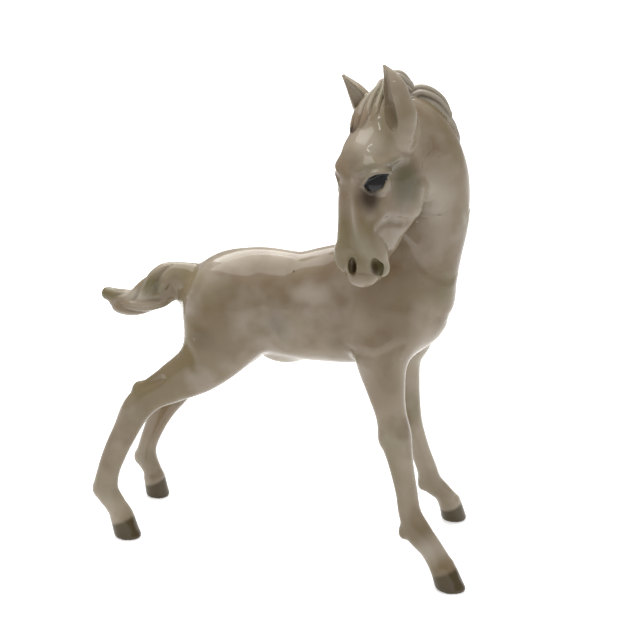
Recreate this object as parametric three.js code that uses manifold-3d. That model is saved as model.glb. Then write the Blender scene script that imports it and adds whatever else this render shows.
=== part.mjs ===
// Porcelain foal figurine, glazed, standing free on its four hooves
// Millimetres, +X towards the chest, +Y to the foal's left, +Z up, ground at Z = 0
// The foal is slip cast in separate moulds, and the castings are luted together before firing

import * as THREE from 'three';
import { mergeVertices } from 'three/addons/utils/BufferGeometryUtils.js';
import Module from 'manifold-3d';

const wasm = await Module();
wasm.setup();

// Casting and joint sizes
const SHELL_WALL = 2.4;
const SEAM_GAP = 0.3;
const VENT_RADIUS = 1.6;
const VENT_SIDES = 20;
const VENT_STATION = 4;
const VENT_OVERRUN = 4;
const SOLE_HEIGHT = 0.9;

// How softly one mass of clay runs into the next
const MUSCLE_BLEND = 6;
const NECK_BLEND = 7;
const LEG_BLEND = 5;
const JOINT_BLEND = 2;
const HOOF_BLEND = 0.7;
const TAIL_BLEND = 4;
const LOCK_BLEND = 1.2;
const FACE_BLEND = 4;
const FEATURE_BLEND = 3;
const NOSTRIL_BLEND = 0.8;

// Trunk, from the dock to the breast: x, y, z, half width, half depth
const TRUNK = [
  [-34, 0, 87.8, 8, 10.6],
  [-28, 0, 88.6, 13.5, 15.4],
  [-14, 0, 89.8, 16, 18],
  [2, 0, 88.7, 15.5, 18.3],
  [16, 0, 89.8, 16.5, 20.1],
  [30, 0, 92, 15.5, 20.2],
  [40.5, 0, 94, 12.6, 17.2],
  [46.4, 0, 98, 8.6, 11],
];
const HAUNCH = { place: [-22.6, 8, 86], radii: [14, 9, 16.6] };
const SHOULDER = { place: [37, 8, 92], radii: [11.5, 8.5, 17] };
const SHEATH = { place: [-5, 0, 70.5], radii: [6, 2.6, 3] };

// Neck, from the withers to the poll, and how far its left side has turned at each station
const NECK = [
  [33, 0, 100, 13, 18],
  [40.8, 0, 113, 12, 17],
  [46.6, -0.5, 128, 10.4, 14.6],
  [48.5, -2.5, 142, 9.4, 12.6],
  [45.2, -7.2, 152.8, 8.8, 10.8],
  [36.5, -17, 157.5, 8, 9],
];
const NECK_TURN_DEGREES = [0, 6, 20, 40, 70, 105];

// Legs, from the hip or the shoulder down to the sole
const RIGHT_HIND_LEG = [
  [-21, -8, 88, 8, 14],
  [-24, -11, 77.4, 8.5, 13.6],
  [-30.5, -13.5, 67.8, 7, 9.8],
  [-40, -14.5, 60, 5.2, 6.3],
  [-48.5, -15, 55.6, 4, 5.4],
  [-54.6, -15.5, 49.8, 4.1, 6],
  [-58.9, -16, 41.3, 3.5, 5],
  [-62.3, -16.8, 33, 3.1, 4.3],
  [-65.2, -17.4, 25, 3.1, 4.1],
  [-66, -18, 18.3, 3.6, 4.5],
  [-62.8, -18.3, 13, 3.2, 4],
  [-60, -18.7, 8.8, 3.7, 4.1],
  [-58.6, -19, 4.5, 3.7, 4.1],
  [-58, -19, 0, 3.7, 4.1],
];
const LEFT_HIND_LEG = [
  [-21, 8, 88, 8, 14],
  [-23, 11, 77, 8.5, 14],
  [-28.5, 13, 66.5, 7.2, 10.2],
  [-37.5, 14, 58, 5.4, 6.5],
  [-46, 14, 52.5, 4.6, 5.8],
  [-51.4, 14, 46, 4.3, 6.2],
  [-56.2, 14.2, 38, 3.5, 4.8],
  [-60, 14.5, 30, 3.1, 3.8],
  [-63, 15, 22.5, 3.1, 3.5],
  [-63.9, 15.3, 17, 3.6, 4],
  [-62.2, 15.8, 12, 3.2, 3.6],
  [-61.2, 16, 8.5, 3.6, 3.9],
  [-60.6, 16.2, 4.5, 3.6, 3.9],
  [-60.4, 16.4, 0, 3.6, 3.9],
];
const RIGHT_FORE_LEG = [
  [34, -9, 90, 6.5, 12],
  [34.5, -14, 78, 6.6, 9.2],
  [37, -17.5, 67.7, 5.5, 6.6],
  [39.2, -19, 59.7, 4.5, 5.3],
  [41.2, -20.5, 52.3, 4.8, 5.5],
  [43.2, -21.5, 44.5, 3.7, 4.4],
  [45.8, -23, 34.5, 3.2, 3.8],
  [47.4, -24, 27, 3.2, 3.9],
  [49.2, -24.6, 20.7, 3.9, 4.6],
  [54.8, -25, 14.8, 3.3, 4],
  [58.7, -25.3, 9.6, 3.7, 4.1],
  [61.3, -25.5, 5, 3.7, 4.1],
  [62.4, -25.5, 0, 3.7, 4.1],
];
const LEFT_FORE_LEG = [
  [34, 9, 90, 6.5, 12],
  [35, 12.2, 78, 6.6, 10.4],
  [35, 14.5, 67, 5.3, 7],
  [35.6, 16, 57, 4.4, 5.7],
  [36.2, 17, 48, 4.6, 5.4],
  [38.2, 18.2, 40, 3.6, 4.3],
  [41, 19.6, 31, 3.1, 3.7],
  [43.4, 20.5, 24, 3.2, 3.7],
  [45.2, 21.2, 18, 3.7, 4],
  [49, 23.6, 13, 3.2, 3.5],
  [51, 25.8, 8.8, 3.6, 3.9],
  [52.4, 27.3, 4.5, 3.6, 3.9],
  [53, 28, 0, 3.6, 3.9],
];

// Hooves: the middle of the coronet and of the sole, and the half width and half length at each
const HOOVES = {
  right_hind_leg: { coronet: [-60.2, -18.8, 8.4, 3.9, 4.2], sole: [-57.4, -19, -0.6, 4.4, 5] },
  left_hind_leg: { coronet: [-61.4, 16, 8.2, 3.8, 4], sole: [-60, 16.4, -0.6, 4.2, 4.7] },
  right_fore_leg: { coronet: [59.2, -25.4, 8.6, 3.9, 4.2], sole: [62.6, -25.6, -0.6, 4.4, 5] },
  left_fore_leg: { coronet: [51.4, 26.2, 8.2, 3.8, 4], sole: [53.2, 28.1, -0.6, 4.3, 4.8] },
};

// Points of the hocks, pads behind the knees, and ergots behind the fetlocks
const LEG_POINTS = {
  right_hind_leg: [
    { place: [-52.6, -15.3, 57.4], radii: [2.6, 2, 2.8] },
    { place: [-69.4, -17.6, 17.8], radii: [1.8, 2, 2.6] },
  ],
  left_hind_leg: [
    { place: [-50.2, 14, 53.4], radii: [2.4, 2, 2.6] },
    { place: [-66.8, 15.2, 16.8], radii: [1.8, 2, 2.4] },
  ],
  right_fore_leg: [
    { place: [37.4, -20, 51.4], radii: [1.8, 2.2, 3.2] },
    { place: [45.6, -24.4, 19.6], radii: [1.8, 2, 2.6] },
  ],
  left_fore_leg: [
    { place: [32.6, 17, 47.4], radii: [1.6, 2.2, 3] },
    { place: [42.2, 20.8, 17], radii: [1.6, 2, 2.4] },
  ],
};

// Tail, from the dock to the tip, and the lock that hangs under it
const TAIL = [
  [-32, 0, 95.2, 4, 3.6],
  [-38, 0, 95.9, 4.2, 4.4],
  [-44, 0, 95.2, 4.6, 5],
  [-49, 0, 93, 4.6, 4.8],
  [-53, 0, 90, 4.4, 4.2],
  [-57.5, 0, 86.8, 3.8, 3.5],
  [-62, 0.2, 85.4, 3, 2.8],
  [-66.5, 0.4, 85.9, 2.9, 2.9],
  [-70.2, 0.8, 86.6, 2.2, 2.1],
];
const LOWER_TAIL_LOCK = [
  [-45, -1, 90.6, 2.8, 3.6],
  [-50, -1.4, 87.2, 3.4, 3.8],
  [-55.5, -1.6, 84.2, 3.4, 3.2],
  [-61, -1.4, 82.8, 3.2, 2.9],
  [-65.6, -0.6, 82.2, 2.4, 2.5],
  [-68, 0, 83, 1.2, 1.2],
];

// Head: measured down the nose from between the eyes, to the foal's left, and out of the face
const BETWEEN_EYES = new THREE.Vector3(29.6, -32.6, 144.2);
const DOWN_NOSE = new THREE.Vector3(0.15, -0.08, -0.985).normalize();
const BROW_LEFT = new THREE.Vector3(0.883, -0.469, 0).projectOnPlane(DOWN_NOSE).normalize();
const MUZZLE_TWIST_DEGREES = -24;
const TWIST_FROM = 14;
const TWIST_TO = 26;
const SKULL = { place: [-11, 0, -12.4], radii: [12, 7.4, 9.5] };
const FOREHEAD = { place: [-2.6, 0, -5.9], radii: [7.6, 6, 6] };
const FACE = [
  [-6, 0, -7, 6.2, 6.8],
  [6, 0, -6.5, 6, 9],
  [15, 0, -5, 5.2, 7.6],
  [22, -0.2, -3.4, 5.6, 6.4],
  [27, -0.8, -1.6, 6.4, 5.8],
  [31, -1.6, -0.8, 5.6, 4.8],
];
const NASAL_RIDGE = [
  [-6, 2.4, -2.8, 3, 3],
  [5, 3, 0.8, 2.8, 2.8],
  [14, 3.2, 2, 2.7, 2.7],
  [22, 3.5, 2, 2.7, 2.7],
];
const CHEEK = { place: [2, 5, -15], radii: [13.5, 4.2, 13] };
const TEMPLE = { place: [-6, 4, -10], radii: [8, 3.6, 8] };
const BROW = { place: [-2, 4.9, -1.2], radii: [3.6, 2.8, 2.7] };
const EYEBALL = { place: [3.1, 4.9, -3.5], radii: [4.5, 4.5, 4.5] };
const THROAT = { place: [12, 0, -17], radii: [9, 4, 6] };
const JAW = [
  [8, 5, -21, 3, 4],
  [15, 4.4, -18, 2.8, 3.4],
  [21, 3.6, -13.4, 2.6, 3],
  [27, 2.4, -8.6, 2.6, 3],
  [31.5, 1.2, -5, 3, 3],
];
const NOSTRIL_WING = { place: [25.4, 5.7, 0.9], radii: [4, 2.7, 3.2] };
const NOSTRIL = { place: [28.8, 4.2, 3.6], radii: [3, 1.5, 3] };

// Ears, forelock and mane locks, sprigged on to the head and neck
const LEFT_EAR = [
  [-9, 7.4, -15.6, 3.6, 4.4],
  [-12, 8.2, -15.5, 4.2, 4.8],
  [-16.3, 8.9, -15, 4.5, 5.2],
  [-21, 9.1, -13.5, 4.1, 4.5],
  [-25.3, 9.2, -12.5, 3.5, 3.8],
  [-28.5, 8.7, -11.8, 2.2, 2.4],
  [-30.8, 8, -11.2, 1.1, 1.2],
  [-32, 7.6, -10.8, 0.5, 0.5],
];
const LEFT_EAR_BOWL = [
  [-11.5, 7.6, -10.8, 1.4, 1.2],
  [-15, 8, -10.8, 2.6, 2.9],
  [-20.5, 8.3, -10.3, 2.6, 3],
  [-25, 8.6, -10, 2, 2.4],
  [-28.6, 8.4, -9.9, 1.1, 1.3],
  [-31.4, 7.9, -9.9, 0.4, 0.4],
];
const RIGHT_EAR = [
  [-9, -5, -15.4, 3, 4],
  [-13, -5.4, -15, 3.4, 4.2],
  [-18.1, -5.2, -14.2, 3.7, 4],
  [-21.5, -5.8, -13.2, 3.5, 3.6],
  [-24.7, -7, -12.2, 2.7, 2.7],
  [-27.2, -8.3, -11.4, 1.7, 1.7],
  [-29.8, -9.8, -10.5, 0.6, 0.6],
];
const RIGHT_EAR_BOWL = [
  [-14, -3.4, -11, 1.4, 1.4],
  [-17.4, -3.2, -11, 2.4, 2.4],
  [-21.4, -4.2, -10.6, 2.4, 2.4],
  [-25, -6.4, -10.4, 1.6, 1.7],
  [-28.2, -8.6, -10, 0.6, 0.6],
];
const EAR_BLEND = 0.6;
const FORELOCK = [
  [-24.6, 0.6, -18, 2.8, 3],
  [-22.4, 0.5, -15, 3.2, 3],
  [-19.4, -1, -10.8, 4.2, 3],
  [-16.2, -1.6, -7.6, 3.3, 2.5],
  [-13.4, -2.9, -5.9, 1.8, 1.6],
];
const POLL_TUFT = [
  [35.5, -9.6, 161.6, 2.8, 3],
  [35.7, -10.6, 167.4, 3.2, 3.2],
  [36.7, -11, 170.2, 3, 2.4],
  [39.3, -10.6, 168.4, 1.8, 1.8],
];
const UPPER_MANE_LOCK = [
  [39.6, -6, 163.5, 3, 3],
  [44, -3.4, 165, 3.4, 3],
  [48.6, -2, 162.5, 3.2, 2.6],
  [51.6, -1, 158, 2, 2],
];
const LOWER_MANE_LOCK = [
  [48, -1.5, 156.5, 2.6, 2.6],
  [51.6, -1, 155.5, 3, 2.4],
  [54, -0.4, 151.5, 2.6, 2],
  [55, 0, 147, 1.3, 1.3],
];

// Where the castings are luted: a point on the joint and the way to the outer casting
const NECK_JOINT = { place: [38, 0, 109.5], aim: [0.2, 0, 0.98] };
const HEAD_JOINT = { place: [46.8, -4, 143], aim: [-0.335, -0.862, 0.382] };
const TAIL_JOINT = { place: [-42.8, 0, 95.4], aim: [-1, 0, 0.1] };
const LEG_JOINTS = {
  right_hind_leg: { place: [-31, -13.7, 66.3], aim: [-0.8, -0.07, -0.6] },
  left_hind_leg: { place: [-30, 13.2, 65.3], aim: [-0.8, 0.07, -0.6] },
  right_fore_leg: { place: [36, -16, 71], aim: [0.25, -0.33, -0.91] },
  left_fore_leg: { place: [34.6, 13.8, 71], aim: [0.17, 0.2, -0.96] },
};

// Facet sizes, finer where the modelling is finer
const BODY_FACET = [4.2, 4, 4];
const HEAD_FACET = [2.2, 2.2, 2.3];
const LEG_FACET = [2.4, 2.4, 3.7];
const TAIL_FACET = [2.7, 2.3, 2.3];
const SPRIG_FACET = [1.6, 1.6, 1.6];
const HOLLOW_FACET = [5.6, 5.6, 5.6];

// A mass is a function of a point, negative inside the clay and about the distance outside it

const TINY = 1e-9;

function egg(place, radii, axes) {
  const [rx, ry, rz] = radii;
  const [cx, cy, cz] = place;
  const [ax, ay, az] = axes;
  return (x, y, z) => {
    const dx = x - cx;
    const dy = y - cy;
    const dz = z - cz;
    const u = (dx * ax.x + dy * ax.y + dz * ax.z) / rx;
    const v = (dx * ay.x + dy * ay.y + dz * ay.z) / ry;
    const w = (dx * az.x + dy * az.y + dz * az.z) / rz;
    const near = Math.hypot(u, v, w);
    return (near * (near - 1)) / (Math.hypot(u / rx, v / ry, w / rz) + TINY);
  };
}

const STEPS_PER_STATION = 6;
const REACH = 10;

function through(points) {
  return new THREE.CatmullRomCurve3(points, false, 'catmullrom');
}

function stretch(stations, sides) {
  const centre = through(stations.map(([x, y, z]) => new THREE.Vector3(x, y, z)));
  const girth = through(stations.map(([, , , width, depth]) => new THREE.Vector3(width, depth, 0)));
  const facing = through(sides);
  const count = (stations.length - 1) * STEPS_PER_STATION;
  const rings = [];
  const box = new THREE.Box3();
  for (let i = 0; i <= count; i += 1) {
    const at = i / count;
    const place = centre.getPoint(at);
    const along = centre.getTangent(at);
    const side = facing.getPoint(at).projectOnPlane(along).normalize();
    const size = girth.getPoint(at);
    const depth = new THREE.Vector3().crossVectors(along, side);
    rings.push({ place, along, side, depth, size });
    box.expandByPoint(place);
  }
  const largest = Math.max(...stations.flatMap(([, , , width, depth]) => [width, depth]));
  box.expandByScalar(largest + REACH);
  const { min, max } = box;
  return (x, y, z) => {
    const far = x < min.x || x > max.x || y < min.y || y > max.y || z < min.z || z > max.z;
    return far ? REACH : fromRings(rings, x, y, z);
  };
}

function nearestRing(rings, x, y, z) {
  let nearest = 0;
  let least = Infinity;
  for (let i = 0; i < rings.length; i += 1) {
    const { place } = rings[i];
    const gap = (x - place.x) ** 2 + (y - place.y) ** 2 + (z - place.z) ** 2;
    if (gap < least) {
      least = gap;
      nearest = i;
    }
  }
  const { place, along } = rings[nearest];
  const ahead = (x - place.x) * along.x + (y - place.y) * along.y + (z - place.z) * along.z;
  return Math.min(Math.max(ahead > 0 ? nearest : nearest - 1, 0), rings.length - 2);
}

function fromRings(rings, x, y, z) {
  const first = nearestRing(rings, x, y, z);
  const a = rings[first];
  const b = rings[first + 1];
  const ex = b.place.x - a.place.x;
  const ey = b.place.y - a.place.y;
  const ez = b.place.z - a.place.z;
  const run = (x - a.place.x) * ex + (y - a.place.y) * ey + (z - a.place.z) * ez;
  const t = Math.min(Math.max(run / (ex * ex + ey * ey + ez * ez), 0), 1);
  const mix = (from, to) => from + (to - from) * t;
  const vx = x - mix(a.place.x, b.place.x);
  const vy = y - mix(a.place.y, b.place.y);
  const vz = z - mix(a.place.z, b.place.z);
  const width = mix(a.size.x, b.size.x);
  const height = mix(a.size.y, b.size.y);
  const round = Math.min(width, height);
  const dot = (name) => {
    const from = a[name];
    const to = b[name];
    return vx * mix(from.x, to.x) + vy * mix(from.y, to.y) + vz * mix(from.z, to.z);
  };
  const u = dot('side') / width;
  const v = dot('depth') / height;
  const w = dot('along') / round;
  const near = Math.hypot(u, v, w);
  return (near * (near - 1)) / (Math.hypot(u / width, v / height, w / round) + TINY);
}

function blend(a, b, radius) {
  const share = Math.max(radius - Math.abs(a - b), 0) / radius;
  return Math.min(a, b) - share * share * radius * 0.25;
}

function join(radius, ...masses) {
  return (x, y, z) => masses.reduce((sum, mass) => blend(sum, mass(x, y, z), radius), REACH);
}

function carve(radius, mass, tool) {
  return (x, y, z) => -blend(-mass(x, y, z), tool(x, y, z), radius);
}

const BODY_AXES = [new THREE.Vector3(1, 0, 0), new THREE.Vector3(0, 1, 0), new THREE.Vector3(0, 0, 1)];
const BOTH_SIDES = [-1, 1];

function facingLeft(stations) {
  return stations.map(() => BODY_AXES[1]);
}

function onSide({ place: [x, y, z], radii }, side) {
  return egg([x, side * y, z], radii, BODY_AXES);
}

function turned(axis, about, degrees) {
  return axis.clone().applyAxisAngle(about, THREE.MathUtils.degToRad(degrees));
}

function headAxes(down) {
  const share = THREE.MathUtils.smoothstep(down, TWIST_FROM, TWIST_TO);
  const left = turned(BROW_LEFT, DOWN_NOSE, MUZZLE_TWIST_DEGREES * share);
  return [DOWN_NOSE, left, new THREE.Vector3().crossVectors(DOWN_NOSE, left)];
}

function inHead([down, left, out]) {
  const axes = headAxes(down);
  return BETWEEN_EYES.clone()
    .addScaledVector(axes[0], down)
    .addScaledVector(axes[1], left)
    .addScaledVector(axes[2], out);
}

function headEgg({ place: [down, left, out], radii }, side = 1) {
  return egg(inHead([down, side * left, out]).toArray(), radii, headAxes(down));
}

function headStations(stations, side = 1) {
  return stations.map(([down, left, out, width, depth]) => {
    const { x, y, z } = inHead([down, side * left, out]);
    return [x, y, z, width, depth];
  });
}

function headStretch(stations, side = 1) {
  const sides = stations.map(([down]) => headAxes(down)[1]);
  return stretch(headStations(stations, side), sides);
}

// A hoof widens down to its sole, and runs on below it so that the ground cuts it flat
function hoof({ coronet, sole }) {
  const below = sole.map((value, d) => (d < 3 ? value + (value - coronet[d]) / 2 : value));
  const stations = [coronet, sole, below];
  return stretch(stations, facingLeft(stations));
}

// Trunk with its muscle masses
const barrel = stretch(TRUNK, facingLeft(TRUNK));
const trunkMass = join(
  MUSCLE_BLEND,
  barrel,
  ...BOTH_SIDES.map((side) => onSide(HAUNCH, side)),
  ...BOTH_SIDES.map((side) => onSide(SHOULDER, side)),
  onSide(SHEATH, 1),
);

// Neck, turning as it rises
const neckSides = NECK_TURN_DEGREES.map((turn) => turned(BODY_AXES[1], BODY_AXES[2], -turn));
const neckMass = stretch(NECK, neckSides);

// Head with brows, cheeks, jaw bars and nostrils
const skullMass = join(FACE_BLEND, headEgg(SKULL), headEgg(FOREHEAD), headStretch(FACE));
const faceMass = join(
  FEATURE_BLEND,
  skullMass,
  headEgg(THROAT),
  ...BOTH_SIDES.flatMap((side) => [
    headStretch(NASAL_RIDGE, side),
    headStretch(JAW, side),
    headEgg(CHEEK, side),
    headEgg(TEMPLE, side),
    headEgg(BROW, side),
    headEgg(NOSTRIL_WING, side),
    headEgg(EYEBALL, side),
  ]),
);
const nostrils = BOTH_SIDES.map((side) => headEgg(NOSTRIL, side));
const headMass = nostrils.reduce((mass, nostril) => carve(NOSTRIL_BLEND, mass, nostril), faceMass);

// Legs and tail
const LEGS = {
  right_hind_leg: RIGHT_HIND_LEG,
  left_hind_leg: LEFT_HIND_LEG,
  right_fore_leg: RIGHT_FORE_LEG,
  left_fore_leg: LEFT_FORE_LEG,
};
const legMasses = Object.entries(LEGS).map(([name, leg]) => {
  const points = LEG_POINTS[name].map((point) => onSide(point, 1));
  const shank = join(JOINT_BLEND, stretch(leg, facingLeft(leg)), ...points);
  return join(HOOF_BLEND, shank, hoof(HOOVES[name]));
});
const tailLocks = [TAIL, LOWER_TAIL_LOCK].map((lock) => stretch(lock, facingLeft(lock)));
const tailMass = join(LOCK_BLEND, ...tailLocks);

const standingMass = join(LEG_BLEND, trunkMass, ...legMasses);
const trunkAndTail = join(TAIL_BLEND, standingMass, tailMass);
const trunkAndNeck = join(NECK_BLEND, trunkAndTail, neckMass);
const wholeMass = join(FACE_BLEND, trunkAndNeck, headMass);
const trunkCore = join(
  MUSCLE_BLEND,
  stretch(TRUNK.slice(1), facingLeft(TRUNK.slice(1))),
  ...BOTH_SIDES.flatMap((side) => [onSide(HAUNCH, side), onSide(SHOULDER, side)]),
);
const torsoCore = join(NECK_BLEND, trunkCore, neckMass);
const neckAndHead = join(FACE_BLEND, neckMass, headMass);
const cheekMasses = BOTH_SIDES.map((side) => headEgg(CHEEK, side));
const headCore = join(FACE_BLEND, neckMass, skullMass, ...cheekMasses);
const bodyCore = (x, y, z) => Math.min(torsoCore(x, y, z), headCore(x, y, z));

// Skin: a net drawn over the mass, with one knot in every grid cell that the surface passes through

const STEPS = [[1, 0, 0], [0, 1, 0], [0, 0, 1]];
const ACROSS = [[STEPS[1], STEPS[2]], [STEPS[2], STEPS[0]], [STEPS[0], STEPS[1]]];
const CORNERS = [0, 1, 2, 3, 4, 5, 6, 7].map((c) => [c & 1, (c >> 1) & 1, (c >> 2) & 1]);
const EDGES = CORNERS.flatMap((corner, a) => {
  return [1, 2, 4].filter((bit) => !(a & bit)).map((bit) => [a, a | bit]);
});
const QUAD = [[1, 1], [0, 1], [0, 0], [1, 0]];

function gridOf(mass, box, facet) {
  const low = box.min.toArray();
  const high = box.max.toArray();
  const count = low.map((value, d) => Math.ceil((high[d] - value) / facet[d]) + 1);
  const index = (i, j, k) => (i * count[1] + j) * count[2] + k;
  const at = (i, j, k) => [i, j, k].map((n, d) => low[d] + n * facet[d]);
  const values = new Float64Array(count[0] * count[1] * count[2]).fill(REACH);
  eachCell(count, (i, j, k) => {
    if (i > 0 && j > 0 && k > 0) {
      values[index(i, j, k)] = mass(...at(i, j, k));
    }
  });
  fillWebs(values, count, index);
  return { count, index, at, values };
}

function eachCell(count, visit) {
  for (let i = 0; i < count[0] - 1; i += 1) {
    for (let j = 0; j < count[1] - 1; j += 1) {
      for (let k = 0; k < count[2] - 1; k += 1) {
        visit(i, j, k);
      }
    }
  }
}

// Thin webs of clay fill each grid square whose corners touch only across its diagonal
const WEB = -0.05;
const WEB_PASSES = 4;

function fillWebs(values, count, index) {
  for (let pass = 0; pass < WEB_PASSES; pass += 1) {
    eachCell(count, (i, j, k) => {
      ACROSS.forEach(([[ea, eb, ec], [fa, fb, fc]]) => {
        const near = index(i, j, k);
        const far = index(i + ea + fa, j + eb + fb, k + ec + fc);
        const one = index(i + ea, j + eb, k + ec);
        const two = index(i + fa, j + fb, k + fc);
        const paired = values[near] < 0 === values[far] < 0 && values[one] < 0 === values[two] < 0;
        if (paired && values[near] < 0 !== values[one] < 0) {
          const [p, q] = values[near] < 0 ? [one, two] : [near, far];
          values[values[p] < values[q] ? p : q] = WEB;
        }
      });
    });
  }
}

function knotsOf({ count, index, at, values }) {
  const points = [];
  const knot = new Int32Array(values.length).fill(-1);
  eachCell(count, (i, j, k) => {
    const level = CORNERS.map(([a, b, c]) => values[index(i + a, j + b, k + c)]);
    const crossed = EDGES.filter(([a, b]) => level[a] < 0 !== level[b] < 0);
    if (crossed.length > 0) {
      const sum = new THREE.Vector3();
      crossed.forEach(([a, b]) => {
        const share = level[a] / (level[a] - level[b]);
        sum.add(new THREE.Vector3(...CORNERS[a]).lerp(new THREE.Vector3(...CORNERS[b]), share));
      });
      sum.divideScalar(crossed.length);
      knot[index(i, j, k)] = points.length;
      points.push(at(i + sum.x, j + sum.y, k + sum.z));
    }
  });
  return { points, knot };
}

function quadsOf({ count, index, values }, knot) {
  const quads = [];
  eachCell(count, (i, j, k) => {
    const inside = values[index(i, j, k)] < 0;
    STEPS.forEach(([a, b, c], d) => {
      if (inside !== values[index(i + a, j + b, k + c)] < 0) {
        const [[ea, eb, ec], [fa, fb, fc]] = ACROSS[d];
        const quad = QUAD.map(([p, q]) => {
          return knot[index(i - p * ea - q * fa, j - p * eb - q * fb, k - p * ec - q * fc)];
        });
        quads.push(inside ? quad : quad.reverse());
      }
    });
  });
  return quads;
}

// Each knot is pulled down the slope of the mass until it lies on the surface
const PULLS = 4;
const FEEL = 0.05;
const LEAST_SLOPE = 0.01;

function settle(mass, point) {
  for (let pull = 0; pull < PULLS; pull += 1) {
    const slope = STEPS.map(([a, b, c]) => {
      const ahead = mass(point[0] + a * FEEL, point[1] + b * FEEL, point[2] + c * FEEL);
      const behind = mass(point[0] - a * FEEL, point[1] - b * FEEL, point[2] - c * FEEL);
      return (ahead - behind) / (2 * FEEL);
    });
    const steep = slope.reduce((sum, part) => sum + part * part, 0);
    const move = THREE.MathUtils.clamp(mass(...point) / Math.max(steep, LEAST_SLOPE), -1, 1);
    slope.forEach((part, d) => {
      point[d] -= move * part;
    });
  }
}

function gap([ax, ay, az], [bx, by, bz]) {
  return Math.hypot(ax - bx, ay - by, az - bz);
}

function moulded(mass, box, facet) {
  const grid = gridOf(mass, box, facet);
  const { points, knot } = knotsOf(grid);
  points.forEach((point) => settle(mass, point));
  const triangles = quadsOf(grid, knot).flatMap(([a, b, c, d]) => {
    const shorter = gap(points[a], points[c]) <= gap(points[b], points[d]);
    return shorter ? [a, b, c, a, c, d] : [a, b, d, b, c, d];
  });
  return solidFrom(points.flat(), triangles);
}

// Solids that can be cut and joined

function solidFrom(positions, triangles) {
  return new wasm.Manifold(new wasm.Mesh({
    numProp: 3,
    vertProperties: new Float32Array(positions),
    triVerts: new Uint32Array(triangles),
  }));
}

function solidOf(geometry) {
  geometry.deleteAttribute('normal');
  geometry.deleteAttribute('uv');
  const merged = mergeVertices(geometry, 1e-5);
  return solidFrom(merged.attributes.position.array, merged.index.array);
}

const BLOCK = 400;

function beyond({ place, aim }, slack) {
  const forward = new THREE.Vector3(...aim).normalize();
  const turn = new THREE.Quaternion().setFromUnitVectors(BODY_AXES[2], forward);
  const middle = new THREE.Vector3(...place).addScaledVector(forward, slack + BLOCK / 2);
  const block = new THREE.BoxGeometry(BLOCK, BLOCK, BLOCK);
  block.applyQuaternion(turn);
  block.translate(middle.x, middle.y, middle.z);
  return solidOf(block);
}

function outer(joint) {
  return beyond(joint, SEAM_GAP / 2);
}

function inner(joint) {
  return beyond(joint, -SEAM_GAP / 2);
}

function around(stations, margin) {
  const box = new THREE.Box3();
  stations.forEach(([x, y, z, width, depth]) => {
    const middle = new THREE.Vector3(x, y, z);
    const reach = Math.max(width, depth);
    box.expandByPoint(middle.clone().addScalar(reach));
    box.expandByPoint(middle.clone().addScalar(-reach));
  });
  return box.expandByScalar(margin);
}

// Hollow that is left when the slip is poured out of the moulds
const BODY_MARGIN = 6;
const headRoom = [...headStations(FACE), ...headStations(JAW)];
const hollowBox = around([...TRUNK, ...NECK, ...headRoom], BODY_MARGIN);
const hollow = moulded((x, y, z) => bodyCore(x, y, z) + SHELL_WALL, hollowBox, HOLLOW_FACET);

// Trunk, neck and head, cut apart at their joints and emptied through the vent
const legTops = Object.values(LEGS).flatMap((leg) => leg.slice(0, 4));
const bodyBox = around([...TRUNK, ...NECK, ...TAIL.slice(0, 4), ...legTops], BODY_MARGIN);
const headBox = around([...NECK.slice(2), ...headRoom], BODY_MARGIN);
const trunkJoints = [NECK_JOINT, TAIL_JOINT, ...Object.values(LEG_JOINTS)];
const [ventX, ventY, ventTop, , bellyDepth] = TRUNK[VENT_STATION];
const ventLength = bellyDepth + VENT_OVERRUN;
const vent = new THREE.CylinderGeometry(VENT_RADIUS, VENT_RADIUS, ventLength, VENT_SIDES)
  .rotateX(Math.PI / 2)
  .translate(ventX, ventY, ventTop - ventLength / 2);

const castings = {};
castings.trunk = trunkJoints
  .reduce((solid, joint) => solid.subtract(inner(joint)), moulded(trunkAndNeck, bodyBox, BODY_FACET))
  .subtract(hollow)
  .subtract(solidOf(vent));
castings.neck = moulded(wholeMass, bodyBox, BODY_FACET)
  .intersect(outer(NECK_JOINT))
  .subtract(inner(HEAD_JOINT))
  .subtract(hollow);
castings.head = moulded(neckAndHead, headBox, HEAD_FACET)
  .intersect(outer(HEAD_JOINT))
  .subtract(hollow);

// Legs and tail, cast solid
const LIMB_MARGIN = 4;
const soles = beyond({ place: [0, 0, SOLE_HEIGHT], aim: [0, 0, 1] }, 0);
const tailBox = around([...TAIL.slice(1), ...LOWER_TAIL_LOCK], LIMB_MARGIN);
Object.entries(LEGS).forEach(([name, leg], at) => {
  const legMass = join(LEG_BLEND, trunkMass, legMasses[at]);
  castings[name] = moulded(legMass, around(leg.slice(1), LIMB_MARGIN), LEG_FACET)
    .intersect(outer(LEG_JOINTS[name]))
    .intersect(soles);
});
castings.tail = moulded(join(TAIL_BLEND, trunkMass, tailMass), tailBox, TAIL_FACET)
  .intersect(outer(TAIL_JOINT));

// Ears and hair, bedded on the head and neck
const SPRIG_MARGIN = 2;
const host = moulded((x, y, z) => neckAndHead(x, y, z) - SEAM_GAP, headBox, HEAD_FACET);

const bedded = [];

function largest(solid) {
  return solid.decompose().reduce((most, part) => (part.volume() > most.volume() ? part : most));
}

// Each sprig is trimmed to lie on the head and neck, clear of the sprigs set before it
function sprig(mass, stations) {
  const box = around(stations, SPRIG_MARGIN);
  const blank = moulded(mass, box, SPRIG_FACET).subtract(host);
  const trimmed = bedded.reduce((solid, other) => {
    return solid.subtract(moulded((x, y, z) => other(x, y, z) - SEAM_GAP, box, SPRIG_FACET));
  }, blank);
  bedded.push(mass);
  return largest(trimmed);
}

function ear(stations, bowl) {
  return sprig(carve(EAR_BLEND, headStretch(stations), headStretch(bowl)), headStations(stations));
}

function lock(stations) {
  return sprig(stretch(stations, facingLeft(stations)), stations);
}

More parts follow.
